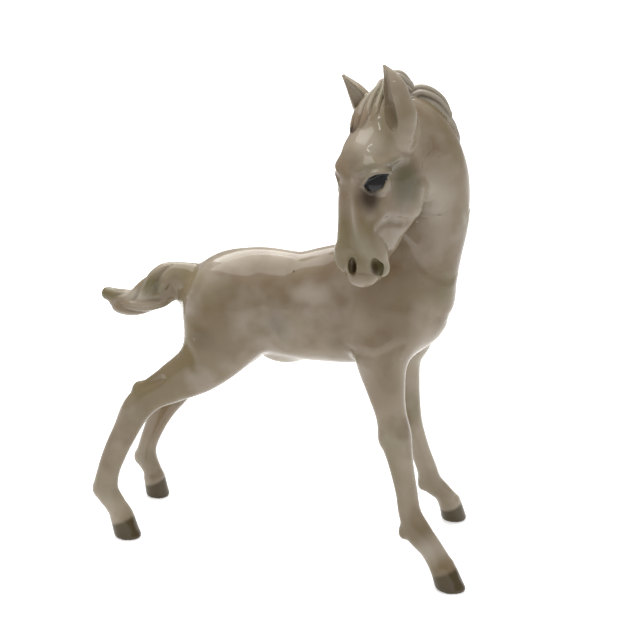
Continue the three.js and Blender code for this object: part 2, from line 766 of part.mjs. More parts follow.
castings.left_ear = ear(LEFT_EAR, LEFT_EAR_BOWL);
castings.right_ear = ear(RIGHT_EAR, RIGHT_EAR_BOWL);
castings.forelock = sprig(headStretch(FORELOCK), headStations(FORELOCK));
castings.poll_tuft = lock(POLL_TUFT);
castings.upper_mane_lock = lock(UPPER_MANE_LOCK);
castings.lower_mane_lock = lock(LOWER_MANE_LOCK);

// Figure, stood with its soles on the ground and the middle of its box over the origin
const GLAZE = { color: 0xd9cfc0, roughness: 0.15, metalness: 0 };
const figure = new THREE.Group();
for (const [name, solid] of Object.entries(castings)) {
  const { vertProperties, triVerts } = solid.getMesh();
  const geometry = new THREE.BufferGeometry();
  geometry.setAttribute('position', new THREE.BufferAttribute(vertProperties, 3));
  geometry.setIndex(new THREE.BufferAttribute(triVerts, 1));
  const casting = new THREE.Mesh(geometry, new THREE.MeshStandardMaterial(GLAZE));
  casting.name = name;
  figure.add(casting);
}
const extent = new THREE.Box3().setFromObject(figure);
const middle = extent.getCenter(new THREE.Vector3());
figure.children.forEach(({ geometry }) => {
  geometry.translate(-middle.x, -middle.y, -extent.min.z);
  geometry.computeVertexNormals();
});

export default figure;
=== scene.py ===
import bmesh
import bpy
import numpy as np
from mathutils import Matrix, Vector


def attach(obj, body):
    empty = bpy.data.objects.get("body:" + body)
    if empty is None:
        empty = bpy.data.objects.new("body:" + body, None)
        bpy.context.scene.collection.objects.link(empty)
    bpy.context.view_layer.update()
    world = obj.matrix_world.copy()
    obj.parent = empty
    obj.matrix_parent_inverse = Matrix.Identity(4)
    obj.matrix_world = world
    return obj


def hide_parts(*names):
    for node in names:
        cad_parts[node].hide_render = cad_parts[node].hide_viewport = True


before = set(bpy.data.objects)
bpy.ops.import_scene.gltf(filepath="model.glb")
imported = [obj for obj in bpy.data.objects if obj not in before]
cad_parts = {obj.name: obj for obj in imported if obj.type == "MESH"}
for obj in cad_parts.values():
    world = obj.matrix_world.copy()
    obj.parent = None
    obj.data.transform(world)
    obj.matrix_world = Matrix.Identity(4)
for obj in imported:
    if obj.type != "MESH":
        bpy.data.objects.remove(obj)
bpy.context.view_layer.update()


# Camera
# The photograph looks at the foal's right side from a little in front and above, in the middle of
# a square frame. All clay sizes below are millimetres: x to the chest, y to the foal's left, z up.

SOLE_HEIGHT = 0.9
CLAY_TO_FRAME = np.array([2.3898, 3.7939, -SOLE_HEIGHT])
AZIMUTH, ELEVATION, DISTANCE = np.radians(16), np.radians(19), 520.0
AIM = np.array([14, -17.2, 90]) + CLAY_TO_FRAME
FOCAL_PIXELS, PHOTO_PIXELS = 1560, 640

level = np.array([np.sin(AZIMUTH), -np.cos(AZIMUTH), 0])
to_camera = level * np.cos(ELEVATION) + np.array([0, 0, np.sin(ELEVATION)])
camera_data = bpy.data.cameras.new("photo_camera")
camera_data.sensor_width = 36.0
camera_data.lens = 36.0 * FOCAL_PIXELS / PHOTO_PIXELS
camera = bpy.data.objects.new("photo_camera", camera_data)
camera.location = (AIM + DISTANCE * to_camera) * 0.001
camera.rotation_euler = Vector(-to_camera).to_track_quat("-Z", "Y").to_euler()
bpy.context.scene.collection.objects.link(camera)
bpy.context.scene.camera = camera


# Trunk
# The barrel, haunches and shoulders of a slip cast porcelain foal, soft and full. The legs, neck
# and tail are cast apart, luted on with slip, and the joins are smoothed before the glaze.

Y_AXIS, Z_AXIS = np.eye(3)[1:]
SPINE = [
    (-34, 0, 87.8, 8, 10.6),
    (-28, 0, 88.6, 13.5, 15.4),
    (-14, 0, 89.8, 16, 18),
    (2, 0, 88.6, 15.5, 18.9),
    (16, 0, 90.3, 16.5, 20.5),
    (30, 0, 92, 15.5, 20.2),
    (40.5, 0, 94, 12.6, 17.2),
    (46.4, 0, 98, 8.6, 11),
]
MUSCLE_BLEND = 6.0
BREAST_BLEND = 2.0
CREASE_BLEND = 1.6
FAR = 9.0


def dot(a, b):
    """Row by row inner product."""
    return np.einsum("...i,...i->...", a, b)


def unit(vector):
    """The vector divided by its length."""
    vector = np.asarray(vector, float)
    return vector / np.sqrt(dot(vector, vector) + 1e-30)[..., None]


def faded(value, start, end):
    """0 at start and 1 at end, along t t (3 - 2 t)."""
    t = np.clip((value - start) / (end - start), 0, 1)
    return t * t * (3 - 2 * t)


class Clay:
    """A mass of clay: a rule that gives each point a number, negative inside and about the distance
    outside, and the box that it reaches. Past the box it is FAR."""

    def __init__(self, rule, low, high):
        self.rule, self.low, self.high = rule, low, high

    def __call__(self, points):
        near = np.all((points > self.low) & (points < self.high), axis=1)
        if near.all():
            return self.rule(points)
        out = np.full(len(points), FAR)
        if near.any():
            out[near] = self.rule(points[near])
        return out


def egg(place, radii, axes=np.eye(3)):
    """An egg of clay. r is the length of the point counted in the egg's own radii, and the value is
    r (r - 1) over the length of the point counted in radii squared."""
    place, radii, axes = (np.asarray(part, float) for part in (place, radii, axes))

    def rule(points):
        local = (points - place) @ (axes.T / radii)
        near = np.sqrt(dot(local, local))
        return near * (near - 1) / (np.sqrt(dot(local / radii, local / radii)) + 1e-9)

    reach = radii.max() + FAR
    return Clay(rule, place - reach, place + reach)


class Roll(Clay):
    """A roll of clay: an ellipse carried along a smooth curve through stations (x, y, z, half width,
    half depth). The curve is Catmull-Rom: on each span p(u) = p0 + u (p1 + u (p2 + u p3)). Each point
    finds its nearest place on the curve by two Newton steps from the nearest of a row of marks. The
    locks, where given, are a relief of the place along and the angle round, as a share of the radius."""

    def __init__(self, stations, sides=Y_AXIS, locks=None):
        stations = np.asarray(stations, float)
        sides = np.broadcast_to(np.asarray(sides, float), (len(stations), 3))
        table = np.hstack([stations, sides])
        table = np.vstack([2 * table[0] - table[1], table, 2 * table[-1] - table[-2]])
        before, start, end, after = table[:-3], table[1:-2], table[2:-1], table[3:]
        self.powers = [
            start,
            (end - before) / 2,
            before - 2.5 * start + 2 * end - 0.5 * after,
            (3 * (start - end) + after - before) / 2,
        ]
        self.centre_powers = [np.ascontiguousarray(power[:, :3]) for power in self.powers]
        self.last = len(stations) - 1
        self.locks = locks
        self.marks = np.linspace(0, self.last, self.last * 5 + 1)
        self.places = self.at(self.marks, self.centre_powers)[0]
        self.reach = stations[:, 3:5].max() + FAR
        low, high = self.places.min(axis=0), self.places.max(axis=0)
        super().__init__(self.rule, low - self.reach, high + self.reach)

    def at(self, along, powers):
        """Value, first and second derivative of the span's cubic at each place along."""
        span = np.minimum(along.astype(int), self.last - 1)
        u = (along - span)[:, None]
        start, slope, bend, twist = (power[span] for power in powers)
        value = start + u * (slope + u * (bend + u * twist))
        return value, slope + u * (2 * bend + 3 * u * twist), 2 * bend + 6 * u * twist

    def section(self, points, along):
        """Place along, the offsets to the side, in depth and along, and the half sizes there."""
        for _ in range(2):
            value, slope, bend = self.at(along, self.centre_powers)
            off = value - points
            steep = dot(slope, slope) + np.maximum(dot(off, bend), 0)
            along = np.clip(along - np.clip(dot(off, slope) / steep, -0.3, 0.3), 0, self.last)
        value, slope, _ = self.at(along, self.powers)
        forward = unit(slope[:, :3])
        side = value[:, 5:8] - dot(value[:, 5:8], forward)[:, None] * forward
        side = unit(side)
        deep = np.cross(forward, side)
        off = points - value[:, :3]
        return along, dot(off, side), dot(off, deep), dot(off, forward), value[:, 3], value[:, 4]

    def rule(self, points):
        out = np.full(len(points), FAR)
        gaps = dot(self.places, self.places) - 2 * points @ self.places.T
        nearest = gaps.argmin(axis=1)
        gap = np.take_along_axis(gaps, nearest[:, None], axis=1)[:, 0] + dot(points, points)
        close = np.nonzero(gap < self.reach**2)[0]
        along, u, v, w, width, depth = self.section(points[close], self.marks[nearest[close]])
        if self.locks:
            relief = 1 + self.locks(along, np.arctan2(v / depth, u / width))
            width, depth = width * relief, depth * relief
        end = np.minimum(width, depth)
        near = np.sqrt((u / width) ** 2 + (v / depth) ** 2 + (w / end) ** 2)
        over = np.sqrt((u / width**2) ** 2 + (v / depth**2) ** 2 + (w / end**2) ** 2)
        out[close] = near * (near - 1) / (over + 1e-9)
        return out


def blend(a, b, radius):
    """Two masses run together: the lesser, less a fillet of a quarter of the overlap squared."""
    share = np.maximum(radius - np.abs(a - b), 0) / radius
    return np.minimum(a, b) - share * share * radius * 0.25


def join(radius, *masses):
    """Masses of clay pressed together one after the other, with a fillet of that radius."""

    def rule(points):
        total = np.full(len(points), FAR)
        for part in masses:
            total = blend(total, part(points), radius)
        return total

    low = np.min([part.low for part in masses], axis=0)
    return Clay(rule, low, np.max([part.high for part in masses], axis=0))


def carve(radius, mass, *tools):
    """Clay cut away where the tools are, the edges softened by that radius."""

    def rule(points):
        total = mass(points)
        for tool in tools:
            total = -blend(-total, tool(points), radius)
        return total

    return Clay(rule, mass.low, mass.high)


def both(place, radii, axes=np.eye(3)):
    """The same egg on the foal's right and left."""
    return [egg((place[0], side * place[1], place[2]), radii, axes) for side in (-1, 1)]


barrel = join(
    MUSCLE_BLEND,
    Roll(SPINE),
    *both((-22.6, 8, 86), (14, 9, 16.6)),
    *both((37, 8, 92), (11.5, 8.5, 17)),
    egg((-5, 0, 70.5), (6, 2.6, 3)),
)
trunk_mass = join(BREAST_BLEND, barrel, egg((47.9, 0, 88.6), (5.7, 8, 4.2)))
# Folds of the skin over the top of the foreleg, on the flank and down the gaskin, one side
BODY_FOLDS = [
    [
        (22.8, 16, 80, 0.4, 0.4),
        (28.1, 19, 79.4, 1.2, 1.2),
        (34.7, 21, 80, 1.3, 1.3),
        (42.6, 17.8, 84.4, 0.4, 0.4),
    ],
    [(-6.4, 17, 90, 0.5, 0.5), (-5.2, 16.8, 85.5, 1.3, 1.3), (-3.3, 15.2, 79.5, 0.5, 0.5)],
    [(0.5, 16.6, 89.5, 0.4, 0.4), (0.9, 16.5, 85.6, 1.1, 1.1), (0.1, 15.4, 81.6, 0.4, 0.4)],
    [(-34.2, 18.8, 76.6, 0.3, 0.3), (-31, 21, 73, 0.9, 0.9), (-29.9, 21.4, 69.4, 0.3, 0.3)],
]
FOLD_BLEND = 2.6


def folded(mass):
    """A mass with the folds of the skin pressed into both its sides."""
    tools = []
    for side in (-1, 1):
        tools += [Roll([(x, side * y, z, w, d) for x, y, z, w, d in fold]) for fold in BODY_FOLDS]
    return carve(FOLD_BLEND, mass, *tools)


# Glaze
# Hard paste porcelain, cast, washed with thin grey, brown and olive stains, dipped in clear glaze
# and fired. The eye sees soft cloudy tints under a smooth wet gloss, with small sharp lights on it.
# Some spots in the same colours are painted shade: in the ear bowls, under the near eye, in the
# nostrils, under the forelock's curl and on the far hind cannon. One on the forehead is a painted
# highlight.

BODY_COLOUR = "#a0937f"
# Cloudy washes 42, 24, 17 and 11 mm wide: waves to a metre, where each starts and is full, its
# colour and its strength
WASHES = (
    (24.0, 0.40, 0.60, "#7e6d56", 1.0),
    (42.0, 0.50, 0.66, "#776a46", 0.6),
    (60.0, 0.52, 0.66, "#a89d90", 0.4),
    (95.0, 0.50, 0.68, "#78634b", 0.5),
)
# Stain colours. warm, olive, brown and pale are also used for spots of painted shade and one painted
# highlight
STAINS_AND_PAINTED_LIGHT = {
    "warm": "#7b664b",
    "olive": "#6e6442",
    "pale": "#b9afa0",
    "grey_green": "#5c563e",
    "brown": "#382815",
    "hoof": "#47391a",
    "dark": "#0b0a09",
}


def linear(code):
    """An sRGB hex colour as linear red, green and blue."""
    parts = np.array([int(code[i : i + 2], 16) for i in (1, 3, 5)]) / 255
    return (*np.where(parts <= 0.04045, parts / 12.92, ((parts + 0.055) / 1.055) ** 2.4), 1.0)


def node(tree, kind, settings=None, **sockets):
    """Adds a node with its settings, and fills or links its sockets, by name or by i and number."""
    made = tree.nodes.new(kind)
    for key, value in (settings or {}).items():
        setattr(made, key, value)
    for key, value in sockets.items():
        numbered = key[0] == "i" and key[1:].isdigit()
        socket = made.inputs[int(key[1:]) if numbered else key.replace("_", " ")]
        if isinstance(value, bpy.types.NodeSocket):
            tree.links.new(value, socket)
        else:
            socket.default_value = value
    return made


def glazed_porcelain():
    """Body colour with the cloudy washes, then each painted stain over the last by its mask, under a
    clear coat with the faint ripple, 6 mm wide, of a dipped glaze. Some of the stain masks also hold
    painted shade and a painted highlight."""
    material = bpy.data.materials.new("glazed_porcelain")
    material.use_nodes = True
    tree = material.node_tree
    tree.nodes.clear()
    place = node(tree, "ShaderNodeTexCoord").outputs["Object"]
    colours = {"data_type": "RGBA"}
    colour = linear(BODY_COLOUR)
    for scale, low, high, tint, strength in WASHES:
        noise = node(tree, "ShaderNodeTexNoise", Vector=place, Scale=scale, Detail=2.5, Roughness=0.5)
        cloud = noise.outputs["Fac"]
        wash = node(tree, "ShaderNodeMapRange", Value=cloud, From_Min=low, From_Max=high, To_Max=strength)
        amount = wash.outputs["Result"]
        mix = node(tree, "ShaderNodeMix", colours, Factor=amount, i6=colour, i7=linear(tint))
        colour = mix.outputs[2]
    for mask, tint in STAINS_AND_PAINTED_LIGHT.items():
        amount = node(tree, "ShaderNodeAttribute", {"attribute_name": mask}).outputs["Fac"]
        mix = node(tree, "ShaderNodeMix", colours, Factor=amount, i6=colour, i7=linear(tint))
        colour = mix.outputs[2]
    ripple = node(tree, "ShaderNodeTexNoise", Vector=place, Scale=170.0, Detail=1.0).outputs["Fac"]
    bump = node(tree, "ShaderNodeBump", Height=ripple, Strength=0.15, Distance=0.0003).outputs["Normal"]
    gloss = node(
        tree,
        "ShaderNodeBsdfPrincipled",
        Base_Color=colour,
        Roughness=0.5,
        IOR=1.5,
        Specular_IOR_Level=0.05,
        Coat_Weight=0.7,
        Coat_Roughness=0.1,
        Coat_IOR=1.52,
        Normal=bump,
        Coat_Normal=bump,
    )
    node(tree, "ShaderNodeOutputMaterial", Surface=gloss.outputs["BSDF"])
    return material


PORCELAIN = glazed_porcelain()


def paint(piece, clay, masks):
    """Gives a casting its glaze and its masks of stain and painted light, one number from 0 to 1 to a
    vertex.
    """
    for stain in STAINS_AND_PAINTED_LIGHT:
        amount = masks[stain](clay) if stain in masks else np.zeros(len(clay))
        layer = piece.data.attributes.new(stain, "FLOAT", "POINT")
        layer.data.foreach_set("value", np.clip(amount, 0, 1).astype(np.float32))
    piece.data.materials.append(PORCELAIN)


def stain_and_painted_light_spot(place, radii, strength=1.0):
    """An airbrushed spot, of stain or, where marked, of painted shade or highlight: full inside a third of
    the radii, and gone at one and a half.
    """
    place, radii = np.asarray(place, float), np.asarray(radii, float)

    def amount(clay):
        off = (clay - place) / radii
        return strength * (1 - faded(np.sqrt((off**2).sum(axis=1)), 0.3, 1.4))

    return amount


def washes(*spots):
    """Spots of stain and of painted shade or highlight laid over each other, the strongest showing."""
    return lambda clay: np.max([spot(clay) for spot in spots], axis=0)


# The tints of the body, with painted shade on the far hind cannon, painted over the luted castings as if
# they were one
body_stains_and_painted_shade = {
    "warm": washes(
        stain_and_painted_light_spot((-11, -8, 102), (10, 7, 5), 0.5),
        stain_and_painted_light_spot((35.5, -20, 67), (8, 7, 10), 0.6),
        # Painted shade: this spot darkens the far hind cannon
        stain_and_painted_light_spot((-57, 14.5, 34), (10, 7, 16), 0.7),
    ),
    "olive": washes(
        stain_and_painted_light_spot((54, -7, 102), (5, 6, 7), 0.6),
        stain_and_painted_light_spot((-20, -14, 97), (7, 6, 4), 0.4),
    ),
    "pale": washes(
        stain_and_painted_light_spot((9.7, -17, 98.7), (7, 5, 4), 0.4),
        stain_and_painted_light_spot((50, -10, 133), (7, 9, 10), 0.7),
        stain_and_painted_light_spot((55, -25, 14.8), (6, 5, 6), 0.7),
    ),
    "brown": washes(
        stain_and_painted_light_spot((-1.7, -17, 86), (5, 5, 6), 0.28),
        stain_and_painted_light_spot((-27.4, -17, 80), (5, 6, 4), 0.25),
        stain_and_painted_light_spot((20, -18, 80), (6, 6, 4), 0.2),
    ),
}


# Legs
# Four long thin legs, each cast solid, with broad knees and hocks, fetlocks that stand out behind
# and small hooves set flat on the shelf. The hooves are stained olive brown.

LEG_BLEND = 5.0
JOINT_BLEND = 2.0
HOOF_BLEND = 0.7
SOLE_ROUND = 1.6
SOLE_LIFT = 0.02
CORONET_SLANT = 0.42
CORONET_LINE = 6.4, 8.0
LEG_CELL = 0.6
RIGHT_HIND_LEG = [
    (-21, -8, 88, 8, 14),
    (-23.6, -11, 77.4, 8.5, 13.2),
    (-30.1, -13.5, 67.8, 7, 9.4),
    (-40.4, -14.5, 60.6, 5.2, 7),
    (-48.2, -15, 55.6, 4, 5.6),
    (-54, -15.5, 49.8, 4.1, 5.3),
    (-58.4, -16, 41.3, 3.5, 4.6),
    (-62.3, -16.8, 33, 3.1, 4.3),
    (-65.2, -17.4, 25, 3.1, 4.1),
    (-66, -18, 18.3, 3.6, 4.5),
    (-62.8, -18.3, 13, 3.2, 4),
    (-60, -18.7, 8.8, 3.7, 4.1),
    (-58.6, -19, 4.5, 3.7, 4.1),
    (-58, -19, 0, 3.7, 4.1),
]
LEFT_HIND_LEG = [
    (-21, 8, 88, 8, 14),
    (-23, 11, 77, 8.5, 14),
    (-28.5, 13, 66.5, 7.2, 10.2),
    (-37.5, 14, 58, 5.4, 6.5),
    (-46, 14, 52.5, 4.6, 5.8),
    (-51.4, 14, 46, 4.3, 6.2),
    (-56.2, 14.2, 38, 3.5, 4.8),
    (-60, 14.5, 30, 3.1, 3.8),
    (-63, 15, 22.5, 3.1, 3.5),
    (-63.9, 15.3, 17, 3.6, 4),
    (-62.2, 15.8, 12, 3.2, 3.6),
    (-61.2, 16, 8.5, 3.6, 3.9),
    (-60.6, 16.2, 4.5, 3.6, 3.9),
    (-60.4, 16.4, 0, 3.6, 3.9),
]
RIGHT_FORE_LEG = [
    (34, -9, 90, 6.5, 12),
    (34.5, -14, 78, 6.6, 9.2),
    (37, -17.5, 67.7, 5.5, 6.6),
    (39.2, -19, 59.7, 4.5, 5.3),
    (41.2, -20.5, 52.3, 4.8, 5.5),
    (43.2, -21.5, 44.5, 3.7, 4.4),
    (45.8, -23, 34.5, 3.2, 3.8),
    (47.4, -24, 27, 3.2, 3.9),
    (50.3, -24.6, 20.7, 3.9, 4.6),
    (55.3, -25, 14.8, 3.3, 4),
    (58.7, -25.3, 9.6, 3.7, 4.1),
    (61.3, -25.5, 5, 3.7, 4.1),
    (62.4, -25.5, 0, 3.7, 4.1),
]
LEFT_FORE_LEG = [
    (34, 9, 90, 6.5, 12),
    (35.6, 12.2, 77.5, 6.6, 11),
    (35, 14.5, 67, 5.3, 7),
    (35.6, 16, 57, 4.4, 5.7),
    (36.2, 17, 48, 4.6, 5.4),
    (38.2, 18.2, 40, 3.6, 4.3),
    (41, 19.6, 31, 3.1, 3.7),
    (43.4, 20.5, 24, 3.2, 3.7),
    (45.2, 21.2, 18, 3.7, 4),
    (49, 23.6, 13, 3.2, 3.5),
    (51, 25.8, 8.8, 3.6, 3.9),
    (52.4, 27.3, 4.5, 3.6, 3.9),
    (53, 28, 0, 3.6, 3.9),
]
# Each hoof: the middle of its coronet and of its sole, and the half width and half length there
HOOVES = {
    "right_hind_leg": ((-60.2, -18.8, 8.4), (-57.4, -19, -0.6), (3.9, 4.2), (4.4, 5)),
    "left_hind_leg": ((-61.4, 16, 8.2), (-60, 16.4, -0.6), (3.8, 4), (4.2, 4.7)),
    "right_fore_leg": ((59.4, -25.4, 8.6), (63, -25.6, -0.6), (3.9, 4.2), (4.4, 5.2)),
    "left_fore_leg": ((51.4, 26.2, 8.2), (53.2, 28.1, -0.6), (3.8, 4), (4.3, 4.8)),
}
# Points of the hocks, accessory pads behind the knees, and ergots behind the fetlocks
LEG_POINTS = {
    "right_hind_leg": [
        ((-52.6, -15.3, 57.4), (2.6, 2, 2.8)),
        ((-69.4, -17.6, 17.8), (1.8, 2, 2.6)),
    ],
    "left_hind_leg": [
        ((-50.2, 14, 53.4), (2.4, 2, 2.6)),
        ((-66.8, 15.2, 16.8), (1.8, 2, 2.4)),
    ],
    "right_fore_leg": [
        ((37.4, -20, 51.4), (1.8, 2.2, 3.2)),
        ((45.6, -24.4, 19.6), (1.8, 2, 2.6)),
    ],
    "left_fore_leg": [
        ((32.6, 17, 47.4), (1.6, 2.2, 3)),
        ((42.2, 20.8, 17), (1.6, 2, 2.4)),
    ],
}
# The hollow above each hock, in front of its tendon
HOCK_HOLLOWS = {
    "right_hind_leg": [((-47.2, -19, 61.4), (5.6, 2, 1.5), (0.86, 0, 0.5))],
    "left_hind_leg": [((-44.6, 18.2, 57.6), (5.4, 2, 1.4), (0.86, 0, 0.5))],
    "right_fore_leg": [],
    "left_fore_leg": [],
}
# Where each leg is luted: a point of the joint, and the way from the trunk into the leg
LEG_JOINTS = {
    "right_hind_leg": ((-31, -13.7, 66.3), (-0.8, -0.07, -0.6)),
    "left_hind_leg": ((-30, 13.2, 65.3), (-0.8, 0.07, -0.6)),
    "right_fore_leg": ((36, -16, 71), (0.25, -0.33, -0.91)),
    "left_fore_leg": ((34.6, 13.8, 71), (0.17, 0.2, -0.96)),
}
LEG_STATIONS = {
    "right_hind_leg": RIGHT_HIND_LEG,
    "left_hind_leg": LEFT_HIND_LEG,
    "right_fore_leg": RIGHT_FORE_LEG,
    "left_fore_leg": LEFT_FORE_LEG,
}


def leaning(way):
    """Axes with the first along the way, the second level and the third square to both."""
    first = unit(way)
    second = unit(np.cross(Z_AXIS, first))
    return np.stack([first, second, np.cross(first, second)])


def hoof(coronet, sole, top, foot):
    """A hoof: a short horn of clay that widens from the coronet down to the sole."""
    middle = tuple((np.array(coronet) + np.array(sole)) / 2)
    waist = ((top[0] + foot[0]) / 2, (top[1] + foot[1]) / 2)
    under = tuple(np.array(sole) + (np.array(sole) - np.array(coronet)) * 0.5)
    return Roll([(*coronet, *top), (*middle, *waist), (*sole, *foot), (*under, *foot)])


def whole_leg(name):
    """A leg with its joint points, its hollows and its hoof, whose sole is rounded at the rim."""
    points = [egg(place, radii) for place, radii in LEG_POINTS[name]]
    leg = join(JOINT_BLEND, Roll(LEG_STATIONS[name]), *points)
    hollows = [egg(place, radii, leaning(way)) for place, radii, way in HOCK_HOLLOWS[name]]
    leg = carve(CREASE_BLEND, leg, *hollows)
    shod = join(HOOF_BLEND, leg, hoof(*HOOVES[name]))

    def rule(points):
        return -blend(-shod(points), points[:, 2] - SOLE_HEIGHT + SOLE_LIFT, SOLE_ROUND)

    return Clay(rule, shod.low, shod.high)


leg_masses = {name: whole_leg(name) for name in LEG_STATIONS}

# The corners of a cell, the twelve pairs of corners with an edge between them, the step that feels
# a slope, the points worked out at a time, and the most cells along a side of the net
CORNERS = np.array([(i, j, k) for i in (0, 1) for j in (0, 1) for k in (0, 1)])
EDGES = np.argwhere(np.triu(np.abs(CORNERS[:, None] - CORNERS).sum(axis=2) == 1))
FEEL = 0.02
CHUNK = 20000
GRID = 8192
# Half the luted seam, the share of a cell within which a point slides on to a cut, and how far the
# saw reaches at a leg and through a whole casting
LUTING = 0.04
CLOSE = 0.3
LEG_REACH = 40
WHOLE = 200


def felt(mass, points):
    """The mass at each point, worked out in chunks that stay close together."""
    parts = [mass(points[i : i + CHUNK]) for i in range(0, len(points), CHUNK)]
    return np.concatenate(parts) if parts else np.zeros(0)


def slope_of(mass, points, value):
    """The gradient of a mass: its change over a short step along each axis."""
    return np.stack([felt(mass, points + FEEL * axis) - value for axis in np.eye(3)], axis=1) / FEEL


def settle(mass, points):
    """Points pulled on to the surface by a Newton step down the slope of the mass."""
    value = felt(mass, points)
    slope = slope_of(mass, points, value)
    move = np.clip(value / np.maximum(dot(slope, slope), 0.05), -1, 1)
    return points - move[:, None] * slope


def eased(points, quads):
    """Each point moved half way to the mean of its neighbours along the net."""
    total, count = np.zeros_like(points), np.zeros(len(points))
    for a, b in ((0, 1), (1, 2), (2, 3), (3, 0)):
        for here, there in ((quads[:, a], quads[:, b]), (quads[:, b], quads[:, a])):
            for axis in range(3):
                total[:, axis] += np.bincount(here, points[there, axis], len(points))
            count += np.bincount(here, minlength=len(points))
    return (points + total / np.maximum(count, 1)[:, None]) / 2


def skin(mass, low, high, cell):
    """A net of quads on the surface of a mass. Cells that the surface may cross are split in eight again
    and again. Each last cell gets a point at the mean of the crossings on its twelve edges, each crossed
    edge makes one quad of the four cells round it, and the points settle on the surface."""
    low, high = np.asarray(low, float), np.asarray(high, float)
    levels = 4
    count = np.ceil((high - low) / (cell * 2**levels)).astype(int)
    cells = np.stack(np.meshgrid(*(np.arange(n) for n in count), indexing="ij"), axis=-1).reshape(-1, 3)
    for level in range(levels, -1, -1):
        span = cell * 2**level
        cells = cells[np.abs(felt(mass, low + (cells + 0.5) * span)) < span * 1.4 + 0.2]
        if level:
            cells = (cells[:, None] * 2 + CORNERS[None]).reshape(-1, 3)
    stride = np.array([1, GRID, GRID**2])
    corners = (cells[:, None] + CORNERS[None]) @ stride
    names, back = np.unique(corners, return_inverse=True)
    places = np.stack([names % GRID, names // GRID % GRID, names // GRID**2], axis=1)
    value = felt(mass, low + places * cell)[back].reshape(-1, 8)
    mixed = (value < 0).any(axis=1) & (value >= 0).any(axis=1)
    cells, value = cells[mixed], value[mixed]
    a, b = value[:, EDGES[:, 0]], value[:, EDGES[:, 1]]
    crossed = (a < 0) != (b < 0)
    share = np.where(crossed, a / np.where(crossed, a - b, 1), 0)
    spots = CORNERS[EDGES[:, 0]] + share[..., None] * (CORNERS[EDGES[:, 1]] - CORNERS[EDGES[:, 0]])
    knots = (spots * crossed[..., None]).sum(axis=1) / crossed.sum(axis=1)[:, None]
    points = low + (cells + knots) * cell
    keys = cells @ stride
    order = np.argsort(keys)
    inside = value[:, 0] < 0
    quads = []
    for axis in range(3):
        one, two = np.eye(3, dtype=int)[[(axis + 1) % 3, (axis + 2) % 3]]
        end = (4, 2, 1)[axis]
        rows = np.nonzero(inside != (value[:, end] < 0))[0]
        steps = [p * one + q * two for p, q in ((1, 1), (0, 1), (0, 0), (1, 0))]
        ring = cells[rows][:, None] - steps
        wanted = ring @ stride
        found = order[np.clip(np.searchsorted(keys, wanted, sorter=order), 0, len(keys) - 1)]
        whole = (keys[found] == wanted).all(axis=1)
        found, flip = found[whole], ~inside[rows][whole]
        found[flip] = found[flip][:, ::-1]
        quads.append(found)
    quads = np.concatenate(quads)
    points = settle(mass, eased(settle(mass, points), quads))
    return settle(mass, points), quads


def reach_of(*rolls, margin=4):
    """The box of rolls of stations with a margin."""
    stations = np.concatenate([np.asarray(roll, float)[:, :5] for roll in rolls])
    radius = stations[:, 3:5].max(axis=1)[:, None] + margin
    return (stations[:, :3] - radius).min(axis=0), (stations[:, :3] + radius).max(axis=0)


def sides(faces):
    """How many sides each face has, the corners at the start and the end of each side, all in a row,
    and the number of each side, which the faces that meet there share."""
    sizes = np.array([len(face) for face in faces])
    start = np.concatenate(faces)
    last = np.cumsum(sizes) - 1
    after = np.arange(1, len(start) + 1)
    after[last] = last + 1 - sizes
    end = start[after]
    keys = np.minimum(start, end) * (start.max() + 1) + np.maximum(start, end)
    return sizes, start, end, np.unique(keys, return_inverse=True)[1]


def hanging_together(names, sizes):
    """One number for all the items that hang together. An item is a run of names, and two hang together
    where they share one. Each name takes the least number of its items, again and again."""
    starts = np.cumsum(sizes) - sizes
    number = np.arange(names.max() + 1)
    while True:
        least = np.minimum.reduceat(number[names], starts)
        fresh = number.copy()
        np.minimum.at(fresh, names, np.repeat(least, sizes))
        fresh = fresh[fresh]
        if (fresh == number).all():
            return least
        number = fresh


def largest(faces):
    """Which faces belong to the largest shell."""
    sizes, _, _, side = sides(faces)
    shell = hanging_together(side, sizes)
    return shell == np.bincount(shell).argmax()


def closed(points, faces, caps):
    """Caps every rim of a set of faces with a fan from the middle of the rim. The sides of a rim are
    those of one face only."""
    _, start, end, side = sides(faces)
    rim = np.bincount(side)[side] == 1
    if not rim.any():
        return points, faces, caps
    start, end = start[rim], end[rim]
    round_rim = hanging_together(np.stack([start, end], axis=1).ravel(), np.full(len(start), 2))
    _, hub = np.unique(round_rim, return_inverse=True)
    middles = np.stack([np.bincount(hub, points[start, axis]) for axis in range(3)], axis=1)
    middles /= np.bincount(hub)[:, None]
    fans = np.stack([end, start, len(points) + hub], axis=1)
    caps = np.concatenate([caps, np.ones(len(fans), bool)])
    return np.concatenate([points, middles]), [*faces, *fans.tolist()], caps


def level_with(place, way, item):
    """Whether all corners of an edge or a face of the net lie in a cut."""
    return all(abs((vert.co - place).dot(way)) < 0.001 for vert in item.verts)


